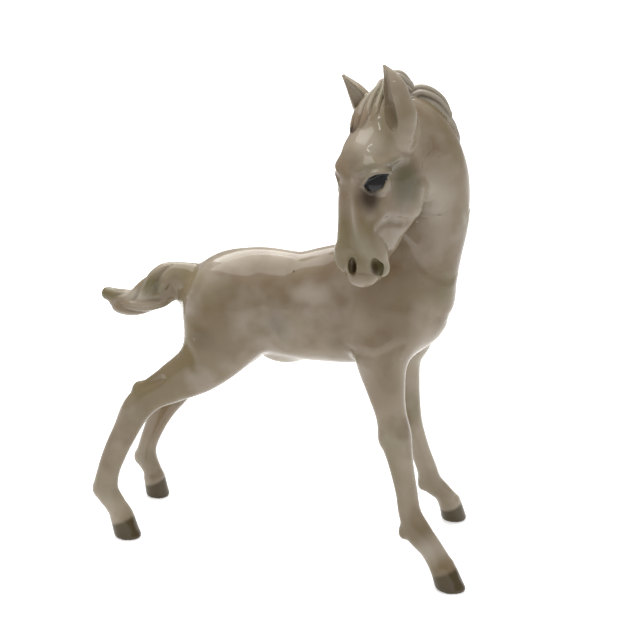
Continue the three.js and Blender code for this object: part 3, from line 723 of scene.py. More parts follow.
def sawn(mass, low, high, cell, cuts):
    """The net of a mass, sawn off flat at each cut and capped, without loose bits. A cut is a point, the
    way that is taken off, and how far the saw reaches. Points close to a cut are slid on to it first.
    Gives the points in clay millimetres, the faces, and which are caps."""
    points, quads = skin(mass, low, high, cell)
    planes = []
    for place, way, reach in cuts:
        place, way = np.array(place, float), unit(way)
        height = (points - place) @ way - LUTING
        close = (np.abs(height) < CLOSE * cell) & (dot(points - place, points - place) < reach**2)
        points[close] -= height[close, None] * way
        planes.append((Vector(place + LUTING * way), Vector(way), reach))
    mesh = bpy.data.meshes.new("sawn")
    mesh.from_pydata(points, [], quads.tolist())
    work = bmesh.new()
    work.from_mesh(mesh)
    bpy.data.meshes.remove(mesh)
    cap = work.faces.layers.int.new("cap")
    for place, way, reach in planes:
        near = [face for face in work.faces if (face.calc_center_median() - place).length < reach]
        parts = list(dict.fromkeys(part for face in near for part in (face, *face.edges, *face.verts)))
        bmesh.ops.bisect_plane(work, geom=parts, dist=1e-5, plane_co=place, plane_no=way, clear_outer=True)
        flat = [face for face in work.faces if level_with(place, way, face)]
        bmesh.ops.delete(work, geom=flat, context="FACES")
    bmesh.ops.remove_doubles(work, verts=work.verts[:], dist=0.001)
    work.verts.index_update()
    kept = largest([[vert.index for vert in face.verts] for face in work.faces])
    loose = [face for face, keep in zip(work.faces, kept) if not keep]
    bmesh.ops.delete(work, geom=loose, context="FACES")
    for place, way, _ in planes:
        bare = [edge for edge in work.edges if edge.is_boundary]
        rim = [edge for edge in bare if level_with(place, way, edge)]
        if rim:
            filled = bmesh.ops.triangle_fill(work, edges=rim, use_beauty=True, normal=way)
            for face in filled["geom"]:
                if isinstance(face, bmesh.types.BMFace):
                    face[cap] = 1
    bmesh.ops.recalc_face_normals(work, faces=work.faces[:])
    work.verts.index_update()
    points = np.array([vert.co for vert in work.verts])
    faces = [[vert.index for vert in face.verts] for face in work.faces]
    caps = np.array([face[cap] for face in work.faces], bool)
    work.free()
    return closed(points, faces, caps)


def piece_of(name, mass, points, faces, caps):
    """A Blender object of faces. The clay's own slope shades it, so that the glaze runs unbroken over
    the joins, and its caps are shaded flat."""
    used, faces_at = np.unique(np.concatenate([np.asarray(face) for face in faces]), return_inverse=True)
    sizes = np.array([len(face) for face in faces])
    faces = [part.tolist() for part in np.split(faces_at, np.cumsum(sizes)[:-1])]
    clay = points[used]
    mesh = bpy.data.meshes.new(name)
    mesh.from_pydata((clay + CLAY_TO_FRAME) * 0.001, [], faces)
    mesh.update()
    corner = np.empty(len(mesh.loops), int)
    mesh.loops.foreach_get("vertex_index", corner)
    flat = np.empty(len(mesh.polygons) * 3)
    mesh.polygons.foreach_get("normal", flat)
    shading = unit(slope_of(mass, clay, felt(mass, clay)))[corner]
    capped = np.repeat(caps, sizes)
    shading[capped] = np.repeat(flat.reshape(-1, 3), sizes, axis=0)[capped]
    mesh.polygons.foreach_set("use_smooth", np.ones(len(sizes), bool))
    mesh.normals_split_custom_set(shading)
    piece = bpy.data.objects.new(name, mesh)
    bpy.context.scene.collection.objects.link(piece)
    return piece, clay


def fire(piece, clay, castings, slot, **masks):
    """Paints and glazes a piece, and ties it to the frame in place of its castings."""
    paint(piece, clay, masks)
    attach(piece, "root")
    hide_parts(*castings)


def hoof_stain(name):
    """Olive brown below the coronet, which stands higher at the toe than at the heel."""
    coronet, sole, _, _ = (np.array(part, float) for part in HOOVES[name])
    toe = unit((*(sole - coronet)[:2], 0))
    return lambda clay: 1 - faded(clay[:, 2] - CORONET_SLANT * ((clay - coronet) @ toe), *CORONET_LINE)


for name, stations in LEG_STATIONS.items():
    place, way = LEG_JOINTS[name]
    leg_mass = folded(join(LEG_BLEND, trunk_mass, leg_masses[name]))
    cuts = [(place, -np.asarray(way), WHOLE), ((0, 0, SOLE_HEIGHT + LUTING), -Z_AXIS, WHOLE)]
    points, faces, caps = sawn(leg_mass, *reach_of(stations[1:]), LEG_CELL, cuts)
    piece, clay = piece_of(name + "_glazed", leg_mass, points, faces, caps)
    knee = stations[5] if "hind" in name else stations[4]
    fetlock = stations[-5]
    fire(
        piece,
        clay,
        [name],
        "glazed_porcelain",
        hoof=hoof_stain(name),
        warm=body_stains_and_painted_shade["warm"],
        pale=body_stains_and_painted_shade["pale"],
        brown=body_stains_and_painted_shade["brown"],
        olive=washes(
            body_stains_and_painted_shade["olive"],
            stain_and_painted_light_spot(knee[:3], (7, 7, 7), 0.4),
            stain_and_painted_light_spot(fetlock[:3], (6, 6, 6), 0.3),
        ),
    )


# Tail
# A short foal's tail held out behind, modelled as twisted locks of hair that part at the end into
# an upper tip and a lower one. It is cast solid and luted to the dock.

TAIL = [
    (-32, 0, 95.2, 4, 3.6),
    (-38, 0, 95.9, 4.2, 4.4),
    (-44, 0, 95.2, 4.6, 5),
    (-49, 0, 93, 4.6, 4.8),
    (-53, 0, 90, 4.4, 4.2),
    (-57.5, 0, 86.8, 3.8, 3.5),
    (-62, 0.2, 85.4, 3, 2.8),
    (-66.5, 0.4, 85.5, 2.9, 2.9),
    (-70.2, 0.8, 86.2, 2.5, 2.4),
]
LOWER_TAIL_LOCK = [
    (-45, -1, 90.6, 2.8, 3.6),
    (-50, -1.4, 87.2, 3.4, 3.8),
    (-55.5, -1.6, 84.2, 3.4, 3.2),
    (-61, -1.4, 82.8, 3.2, 2.9),
    (-65.6, -0.6, 82.2, 2.4, 2.5),
    (-68, 0, 83, 1.2, 1.2),
]
TAIL_JOINT = ((-42.8, 0, 95.4), (-1, 0, 0.1))
TAIL_BLEND = 4.0
TAIL_CELL = 0.45
LOCK_BLEND = 1.2


def twisted(count, turns, depth, start, end):
    """Locks of hair that wind round a roll: a relief of rounded ridges between sharp grooves."""

    def relief(along, angle):
        ridge = np.abs(np.sin(count * 0.5 * angle + turns * along))
        fine = np.abs(np.sin(count * 1.5 * angle + turns * 1.7 * along + 1))
        rise = depth * (ridge - 0.6 + 0.3 * (fine - 0.6))
        return rise * faded(along, start, start + 1) * faded(end - along, 0, 1.5)

    return relief


def in_grooves(*rolls, strength=1.0):
    """Stain that is wiped off the ridges of the hair, and stays where the clay lies under the smooth
    roll: it grows with the depth, from 0.1 mm outside the roll to 0.6 mm inside it."""
    smooth = join(LOCK_BLEND, *rolls)
    return lambda clay: strength * faded(-felt(smooth, clay), -0.1, 0.6)


tail_mass = join(
    LOCK_BLEND,
    Roll(TAIL, locks=twisted(3, 1.5, 0.26, 1.6, 7.6)),
    Roll(LOWER_TAIL_LOCK, locks=twisted(3, -1.6, 0.22, 0, 4.6)),
)
dock_mass = join(TAIL_BLEND, trunk_mass, tail_mass)
points, faces, caps = sawn(
    dock_mass,
    *reach_of(TAIL[1:], LOWER_TAIL_LOCK),
    TAIL_CELL,
    [(TAIL_JOINT[0], -np.asarray(TAIL_JOINT[1], float), WHOLE)],
)
piece, clay = piece_of("tail_glazed", dock_mass, points, faces, caps)
fire(
    piece,
    clay,
    ["tail"],
    "glazed_porcelain",
    warm=washes(
        stain_and_painted_light_spot((-45, -3, 93), (4, 6, 3), 0.3),
        stain_and_painted_light_spot((-62, -3, 84), (5, 5, 3), 0.3),
    ),
    olive=washes(
        stain_and_painted_light_spot((-51, -4, 92), (5, 6, 5), 0.9),
        stain_and_painted_light_spot((-70, 0, 87), (5, 6, 5), 0.8),
    ),
    pale=stain_and_painted_light_spot((-60, -3, 88), (5, 5, 2.4), 0.6),
    brown=in_grooves(Roll(TAIL), Roll(LOWER_TAIL_LOCK), strength=0.35),
)


# Neck
# An arched neck that turns to the foal's right as it rises, with long soft muscles down its side
# and the short mane standing along its crest. It is cast hollow with the trunk and luted to it.

NECK = [
    (33, 0, 100, 13, 18),
    (40.8, 0, 113, 12, 17),
    (46.6, -0.5, 128, 10.4, 14.6),
    (48.5, -2.5, 142, 9.4, 12.6),
    (45.2, -7.2, 152.8, 8.8, 10.8),
    (36.5, -17, 157.5, 8, 9),
]
NECK_TURN = np.radians([0, 6, 20, 40, 70, 105])
NECK_JOINT = ((38, 0, 109.5), (0.2, 0, 0.98))
NECK_BLEND = 7.0
NECK_CELL = 0.6
MANE_BLEND = 0.8
THROAT_MUSCLE = [
    (44, -7, 127, 2, 2),
    (48.4, -7, 118.5, 3.4, 3.4),
    (51.6, -5.4, 111, 3.2, 3.2),
    (52.9, -3, 105, 2, 2),
]
# Folds of the skin behind the jaw and across the base of the throat
NECK_FOLDS = [
    [
        (56.4, -13.6, 146.1, 0.3, 0.3),
        (57.9, -12.8, 139, 0.7, 0.7),
        (61, -8.4, 130.1, 0.7, 0.7),
        (61.6, -5.2, 124, 0.3, 0.3),
    ],
    [
        (40.6, -13, 118.2, 0.4, 0.4),
        (46, -13.6, 112.6, 1.1, 1.1),
        (51.6, -11.6, 107.2, 1.1, 1.1),
        (56.2, -6.8, 103.6, 0.4, 0.4),
    ],
]
UPPER_MANE_LOCK = [
    (39.6, -6, 163.5, 3, 3),
    (44, -3.4, 165, 3.4, 3),
    (48.6, -2, 162.5, 3.2, 2.6),
    (51.6, -1, 158, 2, 2),
]
LOWER_MANE_LOCK = [
    (48, -1.5, 156.5, 2.6, 2.6),
    (51.6, -1, 155.5, 3, 2.4),
    (54, -0.4, 151.5, 2.6, 2),
    (55, 0, 147, 1.3, 1.3),
]


def combed(count, depth):
    """Strands of hair that run along a lock: a relief of rounded ridges between fine grooves."""
    return lambda along, angle: depth * (np.abs(np.sin(0.5 * count * angle + 1.4 * along)) - 0.6)


neck_sides = np.stack([np.sin(NECK_TURN), np.cos(NECK_TURN), 0 * NECK_TURN], axis=1)
neck_mass = join(MUSCLE_BLEND, Roll(NECK, neck_sides), Roll(THROAT_MUSCLE))
upper_lock = Roll(UPPER_MANE_LOCK, locks=combed(7, 0.3))
lower_lock = Roll(LOWER_MANE_LOCK, locks=combed(6, 0.28))


# Head
# A small dished head, bent down and turned well round, with almond eyes under soft lids, open
# nostrils and a fold at the corner of the jaw. The eyes are painted blue black under the glaze.
# Head sizes run down the nose, to the foal's left and out of the face, from between the eyes.

BETWEEN_EYES = np.array([29.6, -32.6, 144.2])
DOWN_NOSE = unit((0.15, -0.08, -0.985))
BROW_LEFT = np.array([0.883, -0.469, 0.0])
BROW_LEFT = unit(BROW_LEFT - (BROW_LEFT @ DOWN_NOSE) * DOWN_NOSE)
FACE_OUT = np.cross(DOWN_NOSE, BROW_LEFT)
MUZZLE_TWIST = np.radians(-24)
TWIST_FROM, TWIST_TO = 14, 26
HEAD_JOINT = ((46.8, -4, 143), (0, -0.9, 0.43))
FACE_BLEND = 4.0
FEATURE_BLEND = 2.6
FINE_BLEND = 1.0
LID_BLEND = 0.5
EYE_BLEND = 0.3
NOSTRIL_RIM = 0.6
HEAD_CELL = 0.36
FACE = [
    (-6, 0, -7, 6.2, 6.8),
    (6, 0, -6.2, 6, 9.5),
    (15, -0.6, -4.6, 5.2, 8.3),
    (22, -1, -3.2, 5.6, 7.2),
    (27, -0.8, -1.6, 6.4, 5.8),
    (31, -1.6, -0.8, 5.6, 4.8),
]
NASAL_RIDGE = [
    (-6, 2.4, -2.8, 3, 3),
    (5, 3, 0.8, 2.8, 2.8),
    (14, 3.2, 2, 2.7, 2.7),
    (22, 3.5, 2, 2.7, 2.7),
]
FAR_NASAL_RIDGE = [
    (-6, 2.4, -2.8, 3, 3),
    (5, 3, 0.8, 2.8, 2.8),
    (14, 3.9, 1.9, 2.8, 2.8),
    (22, 5.2, 1.7, 2.9, 2.9),
]
JAW = [
    (8, 5, -21, 3, 4),
    (15, 4.4, -18, 2.8, 3.4),
    (21, 3.6, -13.4, 2.6, 3),
    (27, 2.4, -8.6, 2.6, 3),
    (31.5, 1.2, -5, 3, 3),
]
FACIAL_CREST = [
    (14.6, 6.4, -19, 1.2, 1.2),
    (14.4, 4.8, -13.4, 1.3, 1.3),
    (12.6, 4.6, -7.4, 1.3, 1.3),
    (13.6, 3.6, -3, 1.2, 1.2),
    (17, 3.6, 0.4, 1, 1),
]
JAW_FOLD = [
    (17.4, 7.3, -0.4, 0.3, 0.3),
    (15.6, 7.5, -5.8, 0.8, 0.8),
    (16.8, 7.2, -11.1, 0.8, 0.8),
    (18, 7.6, -14.4, 0.3, 0.3),
]
CHEEK_ARCH = [
    (-1, 7.5, -5.4, 1.1, 1.1),
    (-2, 7.5, -9.6, 1.4, 1.4),
    (-3, 7.4, -14, 1.2, 1.2),
]
EYE_PLACE = np.array([3.1, 4.5, -4.1])
FAR_SINK = np.array([0, 1.3, 0.5])
EYE_RADIUS = 5.2
EYE_HALF_WIDTH = 4.6
# Rims of the lids as flat sizes of the eye: back to its outer corner, and down
UPPER_LID = [(-4.1, 1), (-2.2, -1.8), (0, -2.9), (2.4, -3.1), (4.6, -3.2)]
LOWER_LID = [(-4.1, 1), (-2.4, 2.8), (-0.2, 3.2), (2.2, 2.1), (3.6, -0.6), (4.6, -3.2)]
LID_FOLD = [(-4.6, -1.4), (-2.6, -3.7), (0.4, -4.7), (3, -4.9), (5.4, -5.2)]
BROW = [
    (0.4, 3, 1.4, 0.9, 0.9),
    (-1.4, 5.2, 1.3, 1.5, 1.5),
    (-1.7, 7, -0.5, 1.8, 1.8),
    (-1.6, 8, -3, 1.6, 1.6),
    (-2, 8.1, -6.8, 1.2, 1.2),
    (-3.2, 8.2, -10.4, 0.8, 0.8),
]


def head_axes(down):
    """Down the nose, to the foal's left, and out of the face, the muzzle twisted back by a smooth step."""
    turn = (MUZZLE_TWIST * faded(np.asarray(down, float), TWIST_FROM, TWIST_TO))[..., None]
    left = BROW_LEFT * np.cos(turn) + FACE_OUT * np.sin(turn)
    down_nose = np.broadcast_to(DOWN_NOSE, left.shape)
    return np.stack([down_nose, left, np.cross(down_nose, left)], axis=-2)


def in_head(place):
    """A point of the head in clay millimetres."""
    return BETWEEN_EYES + np.asarray(place, float) @ head_axes(place[0])


def head_sizes(clay):
    """Clay millimetres turned to head sizes, the way back from in_head."""
    off = clay - BETWEEN_EYES
    return np.einsum("ni,nji->nj", off, head_axes(off @ DOWN_NOSE))


def head_egg(place, radii, side=1, lean=None):
    """An egg set square to the head at its place, or with its first radius along a lean."""
    axes = head_axes(place[0])
    if lean is not None:
        axes = leaning(np.array([lean[0], side * lean[1], lean[2]]) @ axes)
    return egg(in_head((place[0], side * place[1], place[2])), radii, axes)


def head_stations(stations, side=1):
    """Stations of the head in clay millimetres."""
    return [(*in_head((a, side * b, c)), w, h) for a, b, c, w, h in stations]


def head_roll(stations, side=1, locks=None):
    """A roll of clay that follows the head's own axes."""
    return Roll(head_stations(stations, side), [head_axes(row[0])[1] for row in stations], locks)


# Out of the eye, back to its outer corner, and down
EYE_OUT = unit((-0.12, 0.69, 0.71))
EYE_BACK = unit(np.cross(EYE_OUT, (1, 0, 0.17)))
EYE_DOWN = np.cross(EYE_BACK, EYE_OUT)


def eye_place(side):
    """The middle of an eyeball in head sizes, as if on the left. The far one sits deeper."""
    return EYE_PLACE - FAR_SINK * (side < 0)


def lid(mass, path, lift, radius, side):
    """A rim of clay along a path of flat sizes, back and down from the middle of the eye. Each place is
    the highest one inside the mass on the line out of the head, and the rim is lifted off it."""
    step = 0.05
    rise = np.arange(0, 9, step)
    rows = []
    for back, down in path:
        line = eye_place(side) + back * EYE_BACK + down * EYE_DOWN + rise[:, None] * EYE_OUT
        clay = BETWEEN_EYES + (line * (1, side, 1)) @ head_axes(EYE_PLACE[0])
        top = rise[felt(mass, clay) < 0].max(initial=0)
        rows.append((*(clay[0] + (clay[1] - clay[0]) * (top + lift) / step), radius, radius))
    return Roll(rows)


def half_face(side):
    """One half of the face: nasal bar, jaw, crest, cheek, brow, and the wing of the nostril."""
    wing = 5.2 if side > 0 else 7
    brow = [(a, b - 1.6 * (side < 0), c, w, h) for a, b, c, w, h in BROW]
    return [
        head_roll(NASAL_RIDGE if side > 0 else FAR_NASAL_RIDGE, side),
        head_roll(JAW, side),
        head_roll(FACIAL_CREST, side),
        head_roll(CHEEK_ARCH, side),
        head_egg((2, 5, -15.4), (13.5, 4.2, 13.6), side),
        head_egg((-6, 3.6, -10), (7.4, 3.6, 8), side),
        head_egg((-2, 4.9, -1.2), (3.6, 2.8, 2.7), side),
        head_roll(brow, side),
        head_egg((10, 3.6, -2.6), (8, 3.2, 4.6), side),
        head_egg((25.6, wing, 0.9), (4, 2.7, 3.2), side),
    ]


skull_mass = join(
    FACE_BLEND,
    head_egg((-10, 0.4, -12.8), (11, 6.6, 8.4)),
    head_egg((-2.6, 0, -5.9), (7.6, 6, 6)),
    head_roll(FACE),
    *(head_egg((18, side * 2.2, -8.4), (9, 3.8, 9)) for side in (1, -1)),
)
throat = head_egg((12, 0, -17), (9, 4, 6))
face_mass = join(FEATURE_BLEND, skull_mass, throat, *half_face(1), *half_face(-1))
hollows = [head_egg((-0.2, 10, -11), (1.7, 1.2, 3.4), side) for side in (1, -1)]
hollows += [head_roll(JAW_FOLD, side) for side in (1, -1)]
face_mass = carve(FOLD_BLEND, face_mass, *hollows)
eyes = [egg(in_head(eye_place(side) * (1, side, 1)), (EYE_RADIUS,) * 3) for side in (1, -1)]
face_mass = join(EYE_BLEND, face_mass, *eyes)
folds = [lid(face_mass, LID_FOLD, 0.35, 0.55, side) for side in (1, -1)]
lids = [
    lid(face_mass, UPPER_LID, 0.2, 0.7, 1),
    lid(face_mass, LOWER_LID, 0, 0.45, 1),
    lid(face_mass, UPPER_LID, -0.15, 0.5, -1),
    lid(face_mass, LOWER_LID, -0.15, 0.45, -1),
]
face_mass = join(LID_BLEND, carve(FINE_BLEND, face_mass, *folds), *lids)
nostrils = [
    head_egg((28.9, 4.7, 3), (3.2, 1.5, 3.8), 1, (1, 0.18, -0.5)),
    head_egg((28.2, 2.8, 4.2), (2.8, 1.3, 3.4), -1, (1, 0.35, -0.5)),
]
rims = [
    head_egg((28.9, 5.2, 1), (4, 2.5, 3.2), 1, (1, 0.18, -0.5)),
    head_egg((28, 3.4, 1.6), (3.6, 2.4, 3.2), -1, (1, 0.35, -0.5)),
]
face_mass = join(FINE_BLEND, face_mass, *rims)
head_mass = carve(NOSTRIL_RIM, face_mass, *nostrils)


# Ears
# Two pricked ears, each a cupped leaf with an open bowl in front, modelled by hand and luted on
# behind the poll, with the join smoothed away at the back.

EAR_BLEND = 2.2
EAR_RIM = 0.4
LEFT_EAR = [
    (-9, 7.4, -15.6, 3.6, 4.4),
    (-12, 8.2, -15.5, 4.2, 4.8),
    (-16.3, 8.9, -15, 4.5, 5.2),
    (-21, 9.1, -13.5, 4.1, 4.5),
    (-25.3, 9.2, -12.5, 3.5, 3.8),
    (-28.5, 8.7, -11.8, 2.2, 2.4),
    (-30.8, 8, -11.2, 1.1, 1.2),
    (-32, 7.6, -10.8, 0.5, 0.5),
]
RIGHT_EAR = [
    (-9, -5, -15.4, 3, 4),
    (-13, -5.4, -15, 3.4, 4.2),
    (-18.1, -5.2, -14.2, 3.7, 4),
    (-21.5, -5.8, -13.2, 3.5, 3.6),
    (-24.7, -7, -12.2, 2.7, 2.7),
    (-27.2, -8.3, -11.4, 1.7, 1.7),
    (-29.8, -9.8, -10.5, 0.6, 0.6),
]
EAR_BOWLS = {
    "left_ear": [
        (-11.5, 7.6, -10.8, 1.4, 1.2),
        (-15, 8, -10.8, 2.6, 2.9),
        (-20.5, 8.3, -10.3, 2.6, 3),
        (-25, 8.6, -10, 2, 2.4),
        (-28.6, 8.4, -9.9, 1.1, 1.3),
        (-31.4, 7.9, -9.9, 0.4, 0.4),
    ],
    "right_ear": [
        (-14, -3.4, -11, 1.4, 1.4),
        (-17.4, -3.2, -11, 2.4, 2.4),
        (-21.4, -4.2, -10.6, 2.4, 2.4),
        (-25, -6.4, -10.4, 1.6, 1.7),
        (-28.2, -8.6, -10, 0.6, 0.6),
    ],
}


def ear(stations, bowl):
    """A leaf of clay with its bowl pressed in."""
    return carve(EAR_RIM, head_roll(stations), head_roll(bowl))


ear_masses = {
    "left_ear": ear(LEFT_EAR, EAR_BOWLS["left_ear"]),
    "right_ear": ear(RIGHT_EAR, EAR_BOWLS["right_ear"]),
}


# Forelock and poll tuft
# Locks of combed clay: the forelock falls from between the ears over the right brow and curls up
# at its end, and a tuft stands on the poll. They are stained grey green and brown, with brown painted
# shade under the forelock's curled end.

FORELOCK = [
    (-24.6, 0.6, -18, 2.8, 3),
    (-22.4, 0.7, -15, 3.5, 3),
    (-18.8, -0.4, -10.8, 5, 3),
    (-15.7, -1.1, -7.6, 4.2, 2.6),
    (-12.9, -2.5, -6, 2.6, 1.8),
]
FORELOCK_TIP = [
    (-17.8, -3, -8.8, 1.6, 1.6),
    (-14.6, -4, -7.4, 2, 1.8),
    (-12, -4, -6.8, 1.6, 1.4),
    (-10, -3.2, -5.8, 0.7, 0.7),
]
POLL_TUFT = [
    (35.5, -9.6, 161.6, 2.8, 3),
    (35.7, -10.6, 167.4, 3.2, 3.2),
    (37.4, -10.8, 170.6, 3.4, 2.8),
    (40.4, -10.2, 168.4, 2.5, 2.3),
]
HAIR_BLEND = 0.8
SPRIG_REACH = 0.3
forelock = join(
    HAIR_BLEND,
    head_roll(FORELOCK, locks=combed(8, 0.24)),
    head_roll(FORELOCK_TIP, locks=combed(7, 0.16)),
)
poll_tuft = Roll(POLL_TUFT, locks=combed(7, 0.3))

# The whole foal as one mass, so that neighbours share their fillets
standing_mass = folded(join(LEG_BLEND, trunk_mass, *leg_masses.values()))
necked_mass = join(NECK_BLEND, join(TAIL_BLEND, standing_mass, tail_mass), neck_mass)
body_mass = carve(FOLD_BLEND, necked_mass, *(Roll(fold) for fold in NECK_FOLDS))
bare_mass = join(FACE_BLEND, body_mass, head_mass)
eared_mass = join(EAR_BLEND, bare_mass, *ear_masses.values())
whole_mass = join(MANE_BLEND, eared_mass, forelock, poll_tuft, upper_lock, lower_lock)


def parted(points, faces, caps, sprigs):
    """Which sprig each face belongs to: the first whose clay comes close enough to it, else none. The
    outline of each is evened out three times, by the mean share at each point and then on each face.
    Bits that are cut off from their own part go to the part round them."""
    sizes, corner, _, side = sides(faces)
    starts = np.cumsum(sizes) - sizes
    middles = np.add.reduceat(points[corner], starts) / sizes[:, None]
    owner = np.full(len(faces), -1)
    for number, sprig in enumerate(sprigs):
        mine = felt(sprig, middles) < SPRIG_REACH
        for _ in range(3):
            share = np.bincount(corner, np.repeat(mine, sizes)) / np.maximum(np.bincount(corner), 1)
            mine = np.add.reduceat(share[corner], starts) / sizes > 0.5
        owner[mine & (owner < 0) & ~caps] = number
    for number in range(len(sprigs)):
        mine = np.nonzero(owner == number)[0]
        if len(mine):
            owner[mine[~largest([faces[i] for i in mine])]] = -1
    bare = np.nonzero(owner < 0)[0]
    patch_side = sides([faces[i] for i in bare])[3]
    patch = hanging_together(patch_side, sizes[bare])
    best = np.full(side.max() + 1, -1)
    np.maximum.at(best, side, np.repeat(owner, sizes))
    near = np.maximum.reduceat(best[side], starts)[bare]
    most = np.full(patch.max() + 1, -1)
    np.maximum.at(most, patch, near)
    loose = patch != np.bincount(patch).argmax()
    owner[bare[loose]] = most[patch[loose]]
    return owner


def cast_with_sprigs(host, sprigs, low, high, cell, cuts):
    """One net over a casting and what is sprigged on to it, parted into a closed shell for each."""
    points, faces, caps = sawn(whole_mass, low, high, cell, cuts)
    owner = parted(points, faces, caps, list(sprigs.values()))
    shells = {}
    for number, name in enumerate([host, *sprigs], start=-1):
        mine = np.nonzero(owner == number)[0]
        if len(mine):
            shells[name] = closed(points, [faces[i] for i in mine], caps[mine])
    return shells


def stuck(*shells):
    """Shells side by side as one set of points, faces and caps."""
    points, faces, caps = zip(*shells)
    first = np.cumsum([0] + [len(part) for part in points])
    faces = [[start + i for i in face] for start, part in zip(first, faces) for face in part]
    return np.concatenate(points), faces, np.concatenate(caps)


def on_head(*spots):
    """Stain spots given in head sizes."""
    laid = washes(*spots)
    return lambda clay: laid(head_sizes(clay))


def eye_paint(clay):
    """The painted eye: what lies near the ball, inside the almond of the lids, on either side."""
    sizes = head_sizes(clay)
    off = sizes * np.where(sizes[:, 1:2] < 0, (1, -1, 1), 1)
    off -= EYE_PLACE - FAR_SINK * (sizes[:, 1:2] < 0)
    back, down, out = off @ EYE_BACK, off @ EYE_DOWN, off @ EYE_OUT
    upper = np.interp(back, *np.array(UPPER_LID).T)
    lower = np.interp(back, *np.array(LOWER_LID).T)
    inside = faded(np.minimum(down - upper, lower - down) - 0.3, -0.15, 0.25)
    on_ball = (out > 0) & (np.abs(back) < EYE_HALF_WIDTH)
    return inside * on_ball * (np.abs(np.sqrt(dot(off, off)) - EYE_RADIUS) < 2.2)


head_stains_and_painted_light = {
    "dark": eye_paint,
    "brown": on_head(
        # Painted shade, all three: in the hollow under the near eye and inside the two nostrils
        stain_and_painted_light_spot((7, 5.6, 0.9), (4.8, 4.2, 3.8), 1.0),
        stain_and_painted_light_spot((29.2, 3.6, 1.4), (3, 1.1, 3), 0.8),
        stain_and_painted_light_spot((29.2, -2.8, 1.6), (2.4, 1.5, 2.6), 1.0),
    ),
    "grey_green": on_head(
        stain_and_painted_light_spot((5.6, 9.2, -13.4), (8, 5, 7), 0.95),
        stain_and_painted_light_spot((-0.9, 9, -9), (3, 3, 5), 0.7),
        stain_and_painted_light_spot((-3, 5, 2), (5, 5, 4), 0.35),
    ),
    "olive": on_head(
        stain_and_painted_light_spot((24, 0, 4), (9, 9, 6), 0.5),
        stain_and_painted_light_spot((16, 0, 4), (7, 8, 6), 0.3),
        stain_and_painted_light_spot((29.4, 5.4, 0.6), (3.4, 3, 3), 1.0),
        stain_and_painted_light_spot((-10, 5.4, -11), (3, 3, 3), 0.8),
    ),
    "warm": on_head(stain_and_painted_light_spot((2, 2, 4), (9, 5, 4), 0.3)),
    # The body's pale tints, and a painted highlight on the forehead
    "pale": washes(body_stains_and_painted_shade["pale"], on_head(stain_and_painted_light_spot((-9.5, 5, -3), (5, 5, 5), 0.4))),
}


def hair_stains(roll):
    """Grey green hair, paler on its ridges, with brown left in its grooves."""
    return {
        "pale": lambda clay: np.full(len(clay), 0.8),
        "grey_green": lambda clay: np.full(len(clay), 0.25),
        "brown": in_grooves(roll, strength=0.4),
    }


mane_locks = {"upper_mane_lock": upper_lock, "lower_mane_lock": lower_lock}
head_tables = [head_stations(table) for table in (FACE, JAW, LEFT_EAR, RIGHT_EAR)]
head_shells = cast_with_sprigs(
    "head",
    {**ear_masses, "forelock": forelock, "poll_tuft": poll_tuft, **mane_locks},
    *reach_of(NECK[3:], *head_tables),
    HEAD_CELL,
    [(HEAD_JOINT[0], -np.asarray(HEAD_JOINT[1]), WHOLE)],
)
neck_shells = cast_with_sprigs(
    "neck",
    mane_locks,
    *reach_of(NECK, margin=6),
    NECK_CELL,
    [(NECK_JOINT[0], -np.asarray(NECK_JOINT[1], float), WHOLE), (*HEAD_JOINT, WHOLE)],
)
head_and_neck_stains_and_painted_light = {
    "head": head_stains_and_painted_light,
    # Painted shade in the bottom of the left ear's bowl
    "left_ear": {"warm": on_head(stain_and_painted_light_spot((-19, 8, -10.6), (9, 2.6, 3), 0.8))},
    # Painted shade in the lower bowl of the right ear
    "right_ear": {"olive": on_head(stain_and_painted_light_spot((-18, -4, -11), (6, 3, 3), 0.9))},
    "forelock": {
        "warm": on_head(stain_and_painted_light_spot((-16, -1, -8), (6, 6, 6), 0.8)),
        "brown": washes(
            # Painted shade under the curled end of the forelock; the grooves below hold real stain
            on_head(stain_and_painted_light_spot((-12.6, -3.2, -4.6), (2.6, 2.6, 2.6), 0.9)),
            in_grooves(head_roll(FORELOCK), head_roll(FORELOCK_TIP), strength=0.6),
        ),
        "olive": on_head(stain_and_painted_light_spot((-22, 1, -13), (6, 5, 6), 0.6)),
    },
    "poll_tuft": hair_stains(Roll(POLL_TUFT)),
    "neck": body_stains_and_painted_shade,
    "upper_mane_lock": hair_stains(Roll(UPPER_MANE_LOCK)),
    "lower_mane_lock": hair_stains(Roll(LOWER_MANE_LOCK)),
}
HAIR = ("forelock", "poll_tuft", *mane_locks)
# The mane locks lie over the joint of the head and the neck, so each gets a shell from both nets
for name, masks in head_and_neck_stains_and_painted_light.items():
    shells = [net[name] for net in (head_shells, neck_shells) if name in net]
    piece, clay = piece_of(name + "_glazed", whole_mass, *stuck(*shells))
    slot = "tinted_porcelain" if name in HAIR else "glazed_porcelain"
    fire(piece, clay, [name], slot, **masks)


# Trunk casting
# The hollow cast trunk itself, the first of the castings to be poured and the last to be finished:
# it keeps its share of each fillet where the neck, the tail and the legs are luted to it.

TRUNK_CELL = 0.8
leg_tops = [row for stations in LEG_STATIONS.values() for row in stations[:4]]
cuts = [(*NECK_JOINT, WHOLE), (*TAIL_JOINT, WHOLE)]
cuts += [(*joint, LEG_REACH) for joint in LEG_JOINTS.values()]
box = reach_of(SPINE, NECK[:3], TAIL[:4], leg_tops, margin=6)
points, faces, caps = sawn(body_mass, *box, TRUNK_CELL, cuts)
piece, clay = piece_of("trunk_glazed", body_mass, points, faces, caps)
fire(piece, clay, ["trunk"], "glazed_porcelain", **body_stains_and_painted_shade)


# Shelf and studio
# A pale paper sweep that the figure stands on, a white surround, a wide soft box overhead, a
# window high behind the figure that shows along its back, and a narrow strip lamp for the glints.

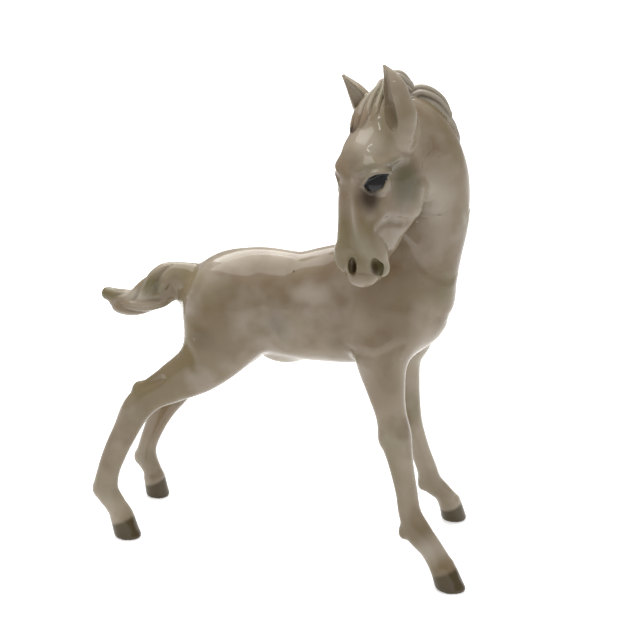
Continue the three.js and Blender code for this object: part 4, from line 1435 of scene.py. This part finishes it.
floor_mesh = bpy.data.meshes.new("floor")
floor_mesh.from_pydata([(-3, -3, 0), (3, -3, 0), (3, 3, 0), (-3, 3, 0)], [], [(0, 1, 2, 3)])
floor = bpy.data.objects.new("floor", floor_mesh)
bpy.context.scene.collection.objects.link(floor)
sweep = bpy.data.materials.new("paper_sweep")
sweep.use_nodes = True
tree = sweep.node_tree
tree.nodes.clear()
rays = node(tree, "ShaderNodeLightPath")
camera_ray, glossy_ray = rays.outputs["Is Camera Ray"], rays.outputs["Is Glossy Ray"]
seen = node(tree, "ShaderNodeMath", {"operation": "MAXIMUM"}, i0=camera_ray, i1=glossy_ray)
lit = node(tree, "ShaderNodeBsdfDiffuse", Color=linear("#f4f4f4"))
glow = node(tree, "ShaderNodeEmission", Color=linear("#ffffff"), Strength=0.5)
none = node(tree, "ShaderNodeEmission", Strength=0.0)
glow_seen = node(tree, "ShaderNodeMixShader", Fac=seen.outputs[0], i1=none.outputs[0], i2=glow.outputs[0])
paper = node(tree, "ShaderNodeAddShader", i0=lit.outputs[0], i1=glow_seen.outputs[0])
node(tree, "ShaderNodeOutputMaterial", Surface=paper.outputs[0])
floor_mesh.materials.append(sweep)

world = bpy.data.worlds.new("surround")
bpy.context.scene.world = world
world.use_nodes = True
tree = world.node_tree
tree.nodes.clear()
camera_ray = node(tree, "ShaderNodeLightPath").outputs["Is Camera Ray"]
soft = node(tree, "ShaderNodeBackground", Color=linear("#ffffff"), Strength=0.55)
white = node(tree, "ShaderNodeBackground", Color=linear("#ffffff"), Strength=1.0)
mixed = node(tree, "ShaderNodeMixShader", Fac=camera_ray, i1=soft.outputs[0], i2=white.outputs[0])
node(tree, "ShaderNodeOutputWorld", Surface=mixed.outputs[0])


def soft_box(name, place, wide, high, power):
    """A soft box that faces the figure, with its sizes in metres and its power in watts."""
    lamp = bpy.data.lights.new(name, "AREA")
    lamp.shape, lamp.size, lamp.size_y, lamp.energy = "RECTANGLE", wide, high, power
    box = bpy.data.objects.new(name, lamp)
    box.location = place
    box.rotation_euler = (Vector((0, 0, 0.09)) - Vector(place)).to_track_quat("-Z", "Y").to_euler()
    bpy.context.scene.collection.objects.link(box)


soft_box("overhead_box", (-0.15, 0.15, 1.0), 1.0, 1.0, 8.5)
soft_box("window", (-0.25, 0.75, 0.72), 0.8, 0.5, 4.5)
soft_box("strip_lamp", (0.35, -0.45, 0.8), 0.3, 0.03, 0.5)

bpy.context.scene.view_settings.view_transform = "Standard"
